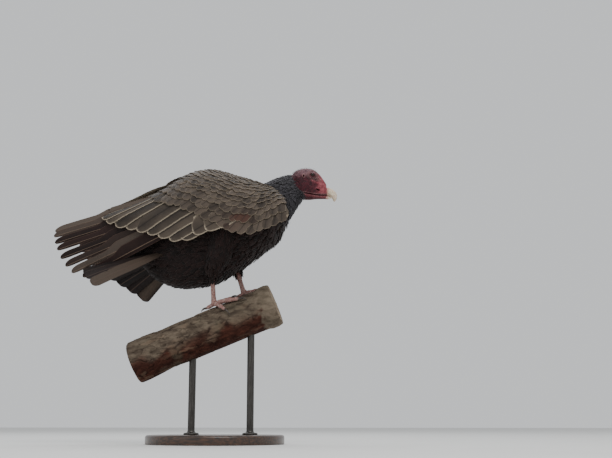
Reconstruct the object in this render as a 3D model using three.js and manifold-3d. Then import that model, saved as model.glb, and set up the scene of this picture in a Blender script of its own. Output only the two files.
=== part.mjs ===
// A turkey vulture, life size, standing on a cut length of pine branch that a plain stand holds up.
// Millimetres, +Z up. The bird faces +X, its middle plane is y = 0 and its right side is -Y.
// The origin is the centre of the underside of the stand's base.
import * as THREE from 'three';
import Module from 'manifold-3d';
import { mergeVertices } from 'three/addons/utils/BufferGeometryUtils.js';

const wasm = await Module();
wasm.setup();

// ---------- driving sizes ----------
const GAP = 0.3; // space between neighbouring solids
const FACET_TOLERANCE = 0.14; // how far facets may leave the shape when small ones are merged
const PERCH_HEIGHT = 280; // top of the perch, between the feet, above the floor
const PERCH_POINT = new THREE.Vector3(25, 3, PERCH_HEIGHT); // bird and perch are laid out from here

const PERCH_RADIUS = 41;
const PERCH_HEADING = 8; // degrees from the bird's heading towards its left
const PERCH_SLOPE = 22; // degrees up towards the sawn end
const PERCH_AHEAD = 82; // from between the feet to the sawn end
const PERCH_BEHIND = 222; // and to the other cut

const BASE_RADIUS = 135;
const BASE_THICKNESS = 18;
const ROD_RADIUS = 7;
const ROD_PLACES = [30, -95]; // along the perch from between the feet

const EYE_RADIUS = 6.4;
const EYE_SPREAD = 13.4; // eye centre to the middle plane of the head
const HEAD_CENTRE = new THREE.Vector3(167.5, 7.9, 248); // midway between the eyes
const HEAD_TURN = 13; // degrees to the bird's left

const QUILL_THICKNESS = 2; // of a flight feather's solid at its base
const VANE_THICKNESS = 1; // and at its tip

const COLOURS = {
  dark_feather: 0x2a201d,
  wing_feather: 0x6b6156,
  flight_feather: 0x4a3c36,
  tail_feather: 0x4d443f,
  neck_feather: 0x3c3e45,
  red_skin: 0x8a3f4b,
  leg_skin: 0xa58684,
  horn: 0xcdb9a0,
  claw: 0x35302d,
  eye: 0x1d1410,
  bark: 0x6f5f52,
  stand_wood: 0x3a2f28,
  stand_metal: 0x3c3c3e,
};

const rad = THREE.MathUtils.degToRad;
const V = (x, y, z) => new THREE.Vector3(x, y, z);

// ---------- small helpers ----------
function smooth(t) {
  const s = THREE.MathUtils.clamp(t, 0, 1);
  return s * s * (3 - 2 * s);
}

// Reads a table of [station, value, value, ...] rows at one station, with a smooth curve between the rows.
function read(table, station) {
  const last = table.length - 1;
  const rising = table[last][0] > table[0][0];
  let k = 0;
  while (k < last - 1 && (rising ? station > table[k + 1][0] : station < table[k + 1][0])) {
    k += 1;
  }
  const before = table[Math.max(k - 1, 0)];
  const a = table[k];
  const b = table[k + 1];
  const after = table[Math.min(k + 2, last)];
  const span = b[0] - a[0];
  const t = THREE.MathUtils.clamp((station - a[0]) / span, 0, 1);
  const out = [];
  for (let c = 1; c < a.length; c += 1) {
    const slope = (p, q) => (q[0] === p[0] ? 0 : (q[c] - p[c]) / (q[0] - p[0]));
    const into = slope(before, b) * span;
    const outOf = slope(a, after) * span;
    const t2 = t * t;
    const t3 = t2 * t;
    out.push(
      a[c] * (2 * t3 - 3 * t2 + 1) + into * (t3 - 2 * t2 + t) + b[c] * (3 * t2 - 2 * t3) + outOf * (t3 - t2),
    );
  }
  return out;
}

// A closed solid from rings of points; every ring has the same number of points.
// The ends of a bent plate are closed from its outer half to its inner half, others from their middle.
function solidFromRings(rings, bentPlate = false) {
  const around = rings[0].length;
  const points = [];
  for (const ring of rings) {
    for (const p of ring) {
      points.push(p.x, p.y, p.z);
    }
  }
  const faces = [];
  for (let i = 0; i + 1 < rings.length; i += 1) {
    for (let j = 0; j < around; j += 1) {
      const a = i * around + j;
      const b = i * around + ((j + 1) % around);
      faces.push(a, b, b + around, a, b + around, a + around);
    }
  }
  const cap = (ringIndex, flip) => {
    const ring = rings[ringIndex];
    if (bentPlate) {
      for (let j = 0; j < around / 2 - 1; j += 1) {
        const [a, b] = [ringIndex * around + j, ringIndex * around + j + 1];
        const [c, d] = [ringIndex * around + around - 2 - j, ringIndex * around + around - 1 - j];
        faces.push(...(flip ? [b, a, c, a, d, c] : [a, b, c, a, c, d]));
      }
      return;
    }
    const middle = ring.reduce((sum, p) => sum.add(p), V(0, 0, 0)).multiplyScalar(1 / around);
    const centre = points.length / 3;
    points.push(middle.x, middle.y, middle.z);
    for (let j = 0; j < around; j += 1) {
      const a = ringIndex * around + j;
      const b = ringIndex * around + ((j + 1) % around);
      faces.push(...(flip ? [b, a, centre] : [a, b, centre]));
    }
  };
  cap(0, true);
  cap(rings.length - 1, false);
  return solidFromArrays(new Float32Array(points), new Uint32Array(faces));
}

function solidFromArrays(points, faces) {
  let solid = new wasm.Manifold(new wasm.Mesh({ numProp: 3, vertProperties: points, triVerts: faces }));
  if (solid.volume() < 0) {
    const turned = faces.slice();
    for (let i = 0; i < turned.length; i += 3) {
      [turned[i + 1], turned[i + 2]] = [turned[i + 2], turned[i + 1]];
    }
    solid = new wasm.Manifold(new wasm.Mesh({ numProp: 3, vertProperties: points, triVerts: turned }));
  }
  return solid;
}

function solidFromGeometry(geometry) {
  const bare = geometry.clone();
  bare.deleteAttribute('normal');
  bare.deleteAttribute('uv');
  const merged = mergeVertices(bare, 1e-4);
  return solidFromArrays(
    new Float32Array(merged.attributes.position.array),
    new Uint32Array(merged.index.array),
  );
}

// One ring of a rounded cross-section. The powers set how square it is above and below its middle.
function ring(centre, side, up, halfWidth, rise, drop, count, power = 2) {
  const points = [];
  for (let j = 0; j < count; j += 1) {
    const angle = (2 * Math.PI * j) / count;
    const c = Math.cos(angle);
    const s = Math.sin(angle);
    const w = Math.sign(c) * Math.abs(c) ** (2 / power) * halfWidth;
    const h = Math.sign(s) * Math.abs(s) ** (2 / power) * (s > 0 ? rise : drop);
    points.push(centre.clone().addScaledVector(side, w).addScaledVector(up, h));
  }
  return points;
}

// A tube with a changing radius along a smooth curve through the given points.
function tube(path, radii, steps, count, grow = 0) {
  const curve = new THREE.CatmullRomCurve3(path, false, 'centripetal');
  const frames = curve.computeFrenetFrames(steps, false);
  const rings = [];
  for (let i = 0; i <= steps; i += 1) {
    const t = i / steps;
    const radius = read(radii, t)[0] + grow;
    const centre = curve.getPoint(t);
    if (i === 0) {
      centre.addScaledVector(frames.tangents[i], -grow);
    }
    if (i === steps) {
      centre.addScaledVector(frames.tangents[i], grow);
    }
    rings.push(ring(centre, frames.normals[i], frames.binormals[i], radius, radius, radius, count));
  }
  return solidFromRings(rings);
}

function cut(solid, ...others) {
  return others.reduce((left, other) => left.subtract(other), solid);
}

// Cuts can leave crumbs: the largest piece is the part.
function largest(solid) {
  const pieces = solid.simplify(FACET_TOLERANCE).decompose();
  return pieces.reduce((best, piece) => (piece.volume() > best.volume() ? piece : best), pieces[0]);
}

function mirrored(solid) {
  return solid.mirror([0, 1, 0]);
}

// ---------- perch ----------
const along = V(
  Math.cos(rad(PERCH_HEADING)) * Math.cos(rad(PERCH_SLOPE)),
  Math.sin(rad(PERCH_HEADING)) * Math.cos(rad(PERCH_SLOPE)),
  Math.sin(rad(PERCH_SLOPE)),
);
const across = V(-Math.sin(rad(PERCH_HEADING)), Math.cos(rad(PERCH_HEADING)), 0);
const overPerch = along.clone().cross(across);
const perchCore = overPerch.clone().multiplyScalar(-PERCH_RADIUS);

// A point near the perch: distance along it, angle round it from its top (left is plus), height above its bark.
function onPerch(distance, angle, height) {
  const reach = PERCH_RADIUS + height;
  return perchCore
    .clone()
    .addScaledVector(along, distance)
    .addScaledVector(overPerch, reach * Math.cos(angle))
    .addScaledVector(across, reach * Math.sin(angle));
}

// The bark swells and dips gently away from the feet and stays round under them.
function barkRadius(distance, angle) {
  const away = smooth((Math.abs(distance + 5) - 75) / 40);
  const swell = 1.6 * Math.sin(distance / 23 + 1.4) * Math.cos(angle * 2 + distance / 60);
  const dip = 1.1 * Math.sin(angle * 3 + distance / 31);
  return PERCH_RADIUS + away * (swell + dip) - 0.008 * Math.min(distance + 90, 0);
}

function perchSolid(grow = 0) {
  const rings = [];
  const steps = 11;
  const count = 22;
  for (let i = 0; i <= steps; i += 1) {
    const distance = THREE.MathUtils.lerp(-PERCH_BEHIND - grow, PERCH_AHEAD + grow, i / steps);
    const points = [];
    for (let j = 0; j < count; j += 1) {
      const angle = (2 * Math.PI * j) / count;
      points.push(onPerch(distance, angle, barkRadius(distance, angle) - PERCH_RADIUS + grow));
    }
    rings.push(points);
  }
  return solidFromRings(rings);
}

// ---------- feet and legs ----------
// Where each foot stands, the way its middle toe points off the perch's line (plus is left), and its ankle.
const FEET = {
  right: { side: -1, distance: -30.5, angle: rad(-12), heading: -21, ankle: V(-26, -38, 53) },
  left: { side: 1, distance: 30.5, angle: rad(12), heading: 40, ankle: V(0.5, 38, 71) },
};
const FOOT_LIFT = 7.5; // centre of the ball of the foot above the bark
const BALL_RADIUS = 7;
// Toes: heading from straight ahead on the perch (plus is outwards), length, radii, claw length, and how
// much of the foot's own turn each toe takes.
const TOES = {
  middle: { heading: 5, length: 56, thick: 5, thin: 3.6, claw: 17, turned: 1 },
  inner: { heading: -26, length: 36, thick: 4.6, thin: 3.4, claw: 15, turned: 1 },
  outer: { heading: 42, length: 42, thick: 4.6, thin: 3.3, claw: 14, turned: 1 },
  hind: { heading: 171, length: 17, thick: 4.4, thin: 3.2, claw: 13, turned: 0.2 },
};
const CLAW_SINK = 1.2; // claw tips end this far over the bark

function toePoint(foot, toe, travel, height) {
  const heading = rad(foot.heading * toe.turned + foot.side * toe.heading);
  const distance = foot.distance + travel * Math.cos(heading);
  const angle = foot.angle + (travel * Math.sin(heading)) / (PERCH_RADIUS + height);
  return onPerch(distance, angle, height);
}

function footSolid(foot, grow = 0) {
  const ball = solidFromGeometry(new THREE.SphereGeometry(BALL_RADIUS + grow, 10, 7));
  const centre = onPerch(foot.distance, foot.angle, FOOT_LIFT);
  let solid = ball.translate([centre.x, centre.y, centre.z]);
  for (const toe of Object.values(TOES)) {
    const path = [0, 0.25, 0.5, 0.75, 1].map((t) => {
      const clear = THREE.MathUtils.lerp(toe.thick, toe.thin, t) + GAP + 0.5;
      return toePoint(foot, toe, t * toe.length, clear + (1 - smooth(t * 3)) * 1.5);
    });
    const radii = [
      [0, toe.thick],
      [0.55, toe.thick * 0.86],
      [0.9, toe.thin],
      [1, toe.thin * 0.82],
    ];
    solid = solid.add(tube(path, radii, 5, 7, grow));
  }
  return solid;
}

function clawSolid(foot, toe) {
  const tipHeight = toe.thin + GAP + 0.5;
  const path = [
    toePoint(foot, toe, toe.length + GAP + 0.1, tipHeight),
    toePoint(foot, toe, toe.length + toe.claw * 0.45, tipHeight + 0.9),
    toePoint(foot, toe, toe.length + toe.claw * 0.82, tipHeight - 0.8),
    toePoint(foot, toe, toe.length + toe.claw, CLAW_SINK),
  ];
  const radii = [
    [0, toe.thin * 0.72],
    [0.5, toe.thin * 0.55],
    [1, 0.6],
  ];
  return tube(path, radii, 3, 6);
}

function tarsusSolid(foot, grow = 0) {
  const bottom = onPerch(foot.distance, foot.angle, FOOT_LIFT);
  const top = foot.ankle;
  const point = (t) => bottom.clone().lerp(top, t);
  const path = [point(0), point(0.33), point(0.66), point(1), point(1.2)];
  const radii = [
    [0, 5.6],
    [0.18, 4.7],
    [0.6, 4.9],
    [0.8, 6.4],
    [1, 5.6],
  ];
  return tube(path, radii, 5, 8, grow);
}

const THIGHS = {
  right: [V(8, -52, 138), V(1, -51, 113), V(-7, -48, 91), V(-18, -43, 71), V(-25.3, -38.5, 55)],
  left: [V(18, 52, 152), V(14, 51, 128), V(9, 48, 107), V(3, 43, 88), V(0.7, 38.5, 73)],
};
const THIGH_RADII = [
  [0, 30],
  [0.3, 29],
  [0.6, 24],
  [0.85, 16],
  [1, 8.5],
];

function thighSolid(side, grow = 0) {
  return tube(THIGHS[side], THIGH_RADII, 6, 14, grow);
}

// ---------- trunk and neck ----------
// Station x, top z, bottom z, half-width.
const TRUNK = [
  [-206, 146, 106, 12],
  [-190, 160, 80, 24],
  [-165, 180, 52, 34],
  [-130, 208, 34, 44],
  [-98, 230, 27, 56],
  [-60, 250, 29, 68],
  [-25, 256, 37, 74],
  [10, 250, 58, 77],
  [40, 240, 76, 76],
  [70, 226, 97, 68],
  [92, 211, 112, 54],
  [107, 200, 134, 38],
  [118, 190, 151, 24],
  [125, 181, 164, 8],
];
const TRUNK_RINGS = 16;
const TRUNK_COUNT = 20;

function trunkSolid(grow = 0) {
  const first = TRUNK[0][0];
  const last = TRUNK[TRUNK.length - 1][0];
  const rings = [];
  for (let i = 0; i <= TRUNK_RINGS; i += 1) {
    const t = 0.5 - 0.5 * Math.cos((Math.PI * i) / TRUNK_RINGS);
    const x = THREE.MathUtils.lerp(first, last, 0.35 * t + (0.65 * i) / TRUNK_RINGS);
    const [top, bottom, half] = read(TRUNK, x);
    const middle = THREE.MathUtils.lerp(bottom, top, 0.5);
    const end = i === 0 ? -grow : i === TRUNK_RINGS ? grow : 0;
    const high = top - middle + grow;
    rings.push(ring(V(x + end, 0, middle), V(0, 1, 0), V(0, 0, 1), half + grow, high, high, TRUNK_COUNT, 2.15));
  }
  return solidFromRings(rings);
}

// The neck runs from inside the trunk to the back of the head and turns to the left with it.
const NECK_PATH = [V(50, 0, 160), V(72, 0, 179), V(92, 1, 197.5), V(110, 3, 212.5), V(128, 5, 224), V(148, 7, 233.5)];
const NECK_RADII = [
  [0, 46, 50],
  [0.25, 40, 50],
  [0.5, 33, 45],
  [0.72, 28, 37],
  [0.88, 23, 30],
  [1, 17, 22],
];

function neckSolid(grow = 0) {
  const curve = new THREE.CatmullRomCurve3(NECK_PATH, false, 'centripetal');
  const rings = [];
  const steps = 8;
  for (let i = 0; i <= steps; i += 1) {
    const t = i / steps;
    const ahead = curve.getTangent(t);
    const side = V(0, 0, 1).cross(ahead).normalize();
    const up = ahead.clone().cross(side).normalize();
    const [wide, tall] = read(NECK_RADII, t);
    rings.push(ring(curve.getPoint(t), side, up, wide + grow, tall + grow, tall + grow, 18));
  }
  return solidFromRings(rings);
}

// ---------- head ----------
const headAhead = V(Math.cos(rad(HEAD_TURN)), Math.sin(rad(HEAD_TURN)), 0);
const headLeft = V(-Math.sin(rad(HEAD_TURN)), Math.cos(rad(HEAD_TURN)), 0);
const UP = V(0, 0, 1);

// A point of the head: ahead of, left of and above the point midway between the eyes.
function onHead(ahead, left, up) {
  return HEAD_CENTRE.clone().addScaledVector(headAhead, ahead).addScaledVector(headLeft, left).addScaledVector(UP, up);
}

// Ahead of the eye, crown height, height of the widest line, jaw height, half-width.
const HEAD = [
  [-42, 0.5, -6, -14, 7],
  [-38, 8, -7, -25, 13.5],
  [-30.5, 13, -8, -37, 18],
  [-20, 16.4, -8, -45.5, 20.5],
  [-8.5, 16.6, -7, -47, 20],
  [2, 14, -8, -46.5, 17.8],
  [10.5, 8, -12, -46, 15],
  [17, 1, -17, -46, 12.8],
  [22, -6.2, -22, -46, 11.4],
  [26, -12.6, -26, -46, 10.6],
  [29.6, -18.8, -30, -46, 10],
];

function headSolid(grow = 0) {
  const rings = [];
  const steps = 13;
  const first = HEAD[0][0];
  const last = HEAD[HEAD.length - 1][0];
  for (let i = 0; i <= steps; i += 1) {
    const ahead = THREE.MathUtils.lerp(first, last, (i / steps) ** 0.9);
    const [crown, wide, jaw, half] = read(HEAD, ahead);
    const end = i === 0 ? -grow : i === steps ? grow : 0;
    const centre = onHead(ahead + end, 0, wide);
    rings.push(ring(centre, headLeft, UP, half + grow, crown - wide + grow, wide - jaw + grow, 18, 2.2));
  }
  return solidFromRings(rings);
}

// The upper bill's horn: ahead, up, half-height, half-width, from the cere to the hook's tip.
const UPPER_BILL = [
  [0, 30, -31.7, 9, 9.2],
  [0.25, 35.7, -33.6, 8.4, 8],
  [0.5, 41.1, -38, 7.6, 6],
  [0.75, 43.8, -44.5, 5.2, 4],
  [1, 43.6, -51.4, 1, 0.9],
];

function upperBillSolid(grow = 0) {
  const rings = [];
  const steps = 8;
  const heading = (t) => {
    const a = read(UPPER_BILL, Math.max(t - 0.05, 0));
    const b = read(UPPER_BILL, Math.min(t + 0.05, 1));
    return headAhead.clone().multiplyScalar(b[0] - a[0]).addScaledVector(UP, b[1] - a[1]).normalize();
  };
  for (let i = 0; i <= steps; i += 1) {
    const t = i / steps;
    const [ahead, up, tall, wide] = read(UPPER_BILL, t);
    const direction = i === 0 ? headAhead.clone() : heading(t);
    const over = direction.clone().cross(headLeft).normalize();
    const end = i === 0 ? -grow : i === steps ? grow : 0;
    const centre = onHead(ahead, 0, up).addScaledVector(direction, end);
    rings.push(ring(centre, headLeft, over, wide + grow, tall + grow, tall + grow, 12, 2.2));
  }
  return solidFromRings(rings);
}

// The lower bill's horn tip, under the hook.
const LOWER_BILL = [
  [29.9, -43.5, 2.5, 7.7],
  [33, -43.5, 2.3, 6.3],
  [35.7, -43.4, 1.7, 4],
  [37.6, -43.1, 1, 1.7],
];

function lowerBillSolid() {
  const rings = [];
  const steps = 6;
  for (let i = 0; i <= steps; i += 1) {
    const ahead = THREE.MathUtils.lerp(LOWER_BILL[0][0], LOWER_BILL[3][0], i / steps);
    const [up, tall, wide] = read(LOWER_BILL, ahead);
    rings.push(ring(onHead(ahead, 0, up), headLeft, UP, wide, tall, tall, 10, 2.2));
  }
  return solidFromRings(rings);
}

function eyeSolid(side, grow = 0) {
  const centre = onHead(0, side * EYE_SPREAD, 0);
  const ball = solidFromGeometry(new THREE.SphereGeometry(EYE_RADIUS + grow, 12, 8));
  return ball.translate([centre.x, centre.y, centre.z]);
}

// ---------- folded wings ----------
// Station x, top z, top y, lower edge z, outermost y (right wing; y is measured outwards).
const WING = [
  [141, 165, 74, 153, 80],
  [138, 174, 72, 145, 82],
  [134, 183, 66, 140, 86],
  [126, 195, 56, 135, 90],
  [105, 213, 40, 127, 94],
  [85, 224, 30, 122, 96],
  [65, 234, 22, 119, 97],
  [40, 244, 16, 120, 97],
  [20, 251, 13, 128, 96],
  [2, 258, 11, 137, 95],
  [-20, 265, 10, 133, 94],
  [-44, 268, 10, 125, 92],
  [-82, 262, 10, 114, 89],
  [-105, 249, 9, 117, 86],
  [-131, 235, 9, 124, 82],
  [-162, 220, 9, 136, 76],
  [-200, 205, 9, 146, 69],
  [-230, 195, 9, 154, 63],
  [-258, 182, 10, 162, 56],
  [-268, 178, 10, 165, 54],
];
const WING_FRONT = 138;
const LEFT_WING = V(-44, -6, 5); // the left wing is held this much further back, closer in and higher
const COVERT_DEPTH = 11;
const SECONDARY_DEPTH = 4;
const SECONDARY_LOBES = 11; // feather tips along the lower edge
const LOBE_DROP = 4;

// The wing's outer face. 'down' goes from 0 at the back's middle line to 1 at the lower edge.
function wingFace(x, down) {
  const [topZ, topY, lowZ, outY] = read(WING, x);
  const turn = rad(96) * down;
  const fall = (topZ - lowZ) / (1 - Math.cos(rad(96)));
  const bulge = 1.06 * Math.sign(turn) * Math.abs(Math.sin(turn)) ** 0.8;
  return V(x, topY + (outY - topY) * Math.min(bulge, 1.03), topZ - fall * (1 - Math.cos(turn)));
}

function wingNormal(station, down) {
  const e = 0.004;
  const x = THREE.MathUtils.clamp(station, WING[WING.length - 1][0] + 1, WING[0][0] - 1);
  const du = wingFace(x + 1, down).sub(wingFace(x - 1, down));
  const dv = wingFace(x, Math.min(down + e, 1)).sub(wingFace(x, Math.max(down - e, 0)));
  return du.cross(dv).normalize();
}

// A curved plate on the wing's face, with the given outline and depth. The left wing is its mirror image.
function wingPlate(outline, depth, lift, nx, nv, grow = 0) {
  const outer = [];
  const inner = [];
  for (let i = 0; i <= nx; i += 1) {
    const rowOut = [];
    const rowIn = [];
    for (let j = 0; j <= nv; j += 1) {
      const [x, down] = outline(i / nx, j / nv, grow);
      const n = wingNormal(x, THREE.MathUtils.clamp(down, 0.02, 0.98));
      const p = wingFace(x, down);
      rowOut.push(p.clone().addScaledVector(n, lift(i / nx, j / nv) + grow));
      rowIn.push(p.clone().addScaledVector(n, lift(i / nx, j / nv) - depth(i / nx, j / nv) - grow));
    }
    outer.push(rowOut);
    inner.push(rowIn);
  }
  const rings = outer.map((row, i) => [...row, ...inner[i].slice().reverse()]);
  return solidFromRings(rings, true);
}

// How far down the face the coverts reach at each station; behind it the secondaries show.
const COVERT_LINE = [
  [141, 1],
  [40, 1],
  [14, 1],
  [-25, 0.886],
  [-45, 0.815],
  [-92, 0.665],
  [-139, 0.5],
  [-160, 0.3],
  [-175, 0.08],
];
const COVERT_END = -171;

// Grows only the first and last of a row of shares from 0 to 1.
function atEnds(share, grow) {
  return share === 0 ? -grow : share === 1 ? grow : 0;
}

function covertOutline(s, t, grow) {
  const x = THREE.MathUtils.lerp(WING_FRONT, COVERT_END, s) - atEnds(s, grow);
  const line = read(COVERT_LINE, THREE.MathUtils.clamp(x, -175, 141))[0];
  return [x, line * t + atEnds(t, grow) / 50];
}

function covertDepth(s, t) {
  const atBend = 0.25 + 0.75 * smooth(s / 0.16);
  const toRear = 1 - 0.66 * smooth((s - 0.3) / 0.6);
  const toEdge = 1 - 0.35 * smooth((t - 0.6) / 0.4);
  return COVERT_DEPTH * atBend * toRear * toEdge;
}

const SECONDARY_START = 14;
const SECONDARY_END = -262;
const SECONDARY_ROUNDING = 45; // how far the rear end's corners are drawn in

function secondaryOutline(s, t, grow) {
  const rear = SECONDARY_END + SECONDARY_ROUNDING * (1 - Math.sin(Math.PI * (0.15 + 0.7 * t)));
  const x = THREE.MathUtils.lerp(SECONDARY_START, rear, s) - atEnds(s, grow);
  const line = read(COVERT_LINE, THREE.MathUtils.clamp(x, -175, 141))[0];
  const start = Math.max(line - 0.12, 0);
  const lobe = Math.abs(Math.sin(Math.PI * SECONDARY_LOBES * s)) ** 0.7;
  const end = 1 - (LOBE_DROP * (1 - lobe)) / 90;
  return [x, THREE.MathUtils.lerp(start, end, t) + atEnds(t, grow) / 50];
}

function covertSolid(grow = 0) {
  return wingPlate(covertOutline, covertDepth, () => 0, 13, 6, grow);
}

function secondarySolid(grow = 0) {
  const lift = (s, t) => -3.2 * (1 - smooth((t - 0.05) / 0.5));
  return wingPlate(secondaryOutline, () => SECONDARY_DEPTH, lift, 22, 3, grow);
}

// ---------- flight feathers ----------
// Overlapping feathers, fanned out as one thin plate with a notch between each two tips.
// 'base' and 'tip' give a feather's ends at each place across the fan, from 0 to 1.
function fan(count, columns, rows, base, tip, notch, bow, grow = 0) {
  const total = count * columns;
  const line = (i) => {
    const place = THREE.MathUtils.clamp(i, 0, total) / total;
    const within = (THREE.MathUtils.clamp(i, 0, total) % columns) / columns;
    const round = Math.abs(2 * within - 1) ** 3;
    const start = base(place);
    const end = start.clone().lerp(tip(place), 1 - notch(place) * round);
    return (v) => start.clone().lerp(end, v);
  };
  const rings = [];
  for (let i = 0; i <= total; i += 1) {
    const here = line(i);
    const across = line(i + 1)(1).sub(line(i - 1)(1));
    const ahead = here(1).sub(here(0));
    const sideways = across.clone().addScaledVector(ahead, -across.dot(ahead) / ahead.lengthSq()).normalize();
    const over = ahead.clone().cross(sideways).normalize();
    const upper = [];
    const lower = [];
    for (let j = 0; j <= rows; j += 1) {
      const v = j / rows;
      const point = here(v)
        .addScaledVector(over, bow * 4 * v * (1 - v))
        .addScaledVector(ahead.clone().normalize(), -atEnds(v, -grow))
        .addScaledVector(sideways, atEnds(i / total, grow));
      const half = THREE.MathUtils.lerp(QUILL_THICKNESS, VANE_THICKNESS, v) / 2 + grow;
      upper.push(point.clone().addScaledVector(over, half));
      lower.unshift(point.clone().addScaledVector(over, -half));
    }
    rings.push([...upper, ...lower]);
  }
  return solidFromRings(rings, true);
}

// Primaries, innermost first: place across the fan, base x, out and z, tip x, out and z.
const PRIMARY_COUNT = 8;
const PRIMARIES = [
  [0, -100, 58, 208, -366, 33, 162],
  [0.12, -100, 61, 198, -372, 37, 148],
  [0.27, -100, 64, 186, -369, 41, 132],
  [0.41, -100, 66, 175, -362, 44, 114],
  [0.55, -100, 67, 165, -353, 46, 97],
  [0.68, -100, 67, 156, -341, 47, 80],
  [0.8, -100, 66, 148, -328, 47, 65],
  [0.92, -100, 65, 140, -308, 46, 53],
  [1, -100, 64, 134, -286, 45, 50],
];
const PRIMARY_NOTCH = [0.06, 0.17]; // depth of the gaps between tips: innermost, outermost
const FAR_HAND = { ahead: 12, spread: 0.8 }; // the left hand is a little more closed

function primariesSolid(side, grow = 0) {
  const left = side > 0;
  const base = (place) => {
    const [x, out, z] = read(PRIMARIES, place);
    return V(x, side * out, z);
  };
  const tip = (place) => {
    const row = read(PRIMARIES, place);
    const z = left ? THREE.MathUtils.lerp(PRIMARIES[0][6], row[5], FAR_HAND.spread) : row[5];
    return V(row[3] + (left ? FAR_HAND.ahead : 0), side * row[4], z);
  };
  const notch = (place) => THREE.MathUtils.lerp(PRIMARY_NOTCH[0], PRIMARY_NOTCH[1], place);
  return fan(PRIMARY_COUNT, 4, 3, base, tip, notch, -side * 3, grow);
}

// Tail feathers fan out from the rump; place 0 is the outermost right one's edge and 1 the left one's.
const TAIL_COUNT = 12;
const TAIL_BASE = V(-112, 0, 114);
const TAIL_BASE_HALF = 22;
const TAIL_LENGTH = 192;
const TAIL_HALF_FAN = 42; // degrees
const TAIL_DIP = 38; // fall of the middle feathers from base to tip
const TAIL_ARCH = 50; // the outermost tips hang this much below the middle ones
const TAIL_ROUNDING = 0.15; // how much shorter the outermost feathers are
const TAIL_NOTCH = 0.05;

function tailBase(place) {
  const out = 2 * place - 1;
  return TAIL_BASE.clone().add(V(0, out * TAIL_BASE_HALF, -8 * out * out));
}

function tailTip(place) {
  const out = 2 * place - 1;
  const turn = rad(TAIL_HALF_FAN) * out;
  const length = TAIL_LENGTH * (1 - TAIL_ROUNDING * out * out);
  const fall = TAIL_DIP + TAIL_ARCH * Math.abs(out) ** 1.7;
  return tailBase(place).add(V(-Math.cos(turn) * length, Math.sin(turn) * length, -fall));
}

function tailSolid(grow = 0) {
  return fan(TAIL_COUNT, 3, 2, tailBase, tailTip, () => TAIL_NOTCH, -3, grow);
}

// ---------- stand ----------
function rodSolid(distance) {
  const top = perchCore.clone().addScaledVector(along, distance).add(PERCH_POINT);
  const bottom = BASE_THICKNESS + GAP;
  const rod = solidFromGeometry(new THREE.CylinderGeometry(ROD_RADIUS, ROD_RADIUS, top.z - bottom, 20));
  return rod
    .rotate([90, 0, 0])
    .translate([top.x, top.y, (top.z + bottom) / 2])
    .translate([-PERCH_POINT.x, -PERCH_POINT.y, -PERCH_POINT.z]);
}

function baseSolid() {
  const profile = [
    new THREE.Vector2(0, 0),
    new THREE.Vector2(BASE_RADIUS - 1.5, 0),
    new THREE.Vector2(BASE_RADIUS, 1.5),
    new THREE.Vector2(BASE_RADIUS, BASE_THICKNESS - 5),
    new THREE.Vector2(BASE_RADIUS - 1.6, BASE_THICKNESS - 1.6),
    new THREE.Vector2(BASE_RADIUS - 5, BASE_THICKNESS),
    new THREE.Vector2(0, BASE_THICKNESS),
  ];
  return solidFromGeometry(new THREE.LatheGeometry(profile, 32)).rotate([90, 0, 0]);
}

// ---------- assembly ----------
const model = new THREE.Group();
const bird = new THREE.Group();
bird.position.copy(PERCH_POINT);
model.add(bird);

function addPart(parent, name, solid, colour, roughness = 0.85, metalness = 0) {
  const mesh = largest(solid).getMesh();
  const geometry = new THREE.BufferGeometry();
  geometry.setAttribute('position', new THREE.BufferAttribute(new Float32Array(mesh.vertProperties), 3));
  geometry.setIndex(new THREE.BufferAttribute(new Uint32Array(mesh.triVerts), 1));
  geometry.computeVertexNormals();
  const part = new THREE.Mesh(geometry, new THREE.MeshStandardMaterial({ color: colour, roughness, metalness }));
  part.name = name;
  parent.add(part);
}

const perch = perchSolid();
const perchRoom = perchSolid(GAP);
const trunk = trunkSolid();
const trunkRoom = trunkSolid(GAP);
const head = cut(headSolid(), eyeSolid(-1, GAP), eyeSolid(1, GAP));
const coverts = covertSolid();
const covertRoom = covertSolid(GAP);
const secondaryRoom = secondarySolid(GAP);
const neck = cut(neckSolid(), trunkRoom, headSolid(GAP));
const neckRoom = neckSolid(GAP);
const tail = cut(tailSolid(), trunkRoom);
const tailRoom = tailSolid(GAP);

addPart(bird, 'trunk', trunk, COLOURS.dark_feather);
addPart(bird, 'neck', neck, COLOURS.neck_feather);
addPart(bird, 'head', head, COLOURS.red_skin, 0.7);
addPart(bird, 'bill_upper', upperBillSolid(), COLOURS.horn, 0.5);
addPart(bird, 'bill_lower', cut(lowerBillSolid(), upperBillSolid(GAP)), COLOURS.horn, 0.5);
addPart(bird, 'tail_feathers', tail, COLOURS.tail_feather);

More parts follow.
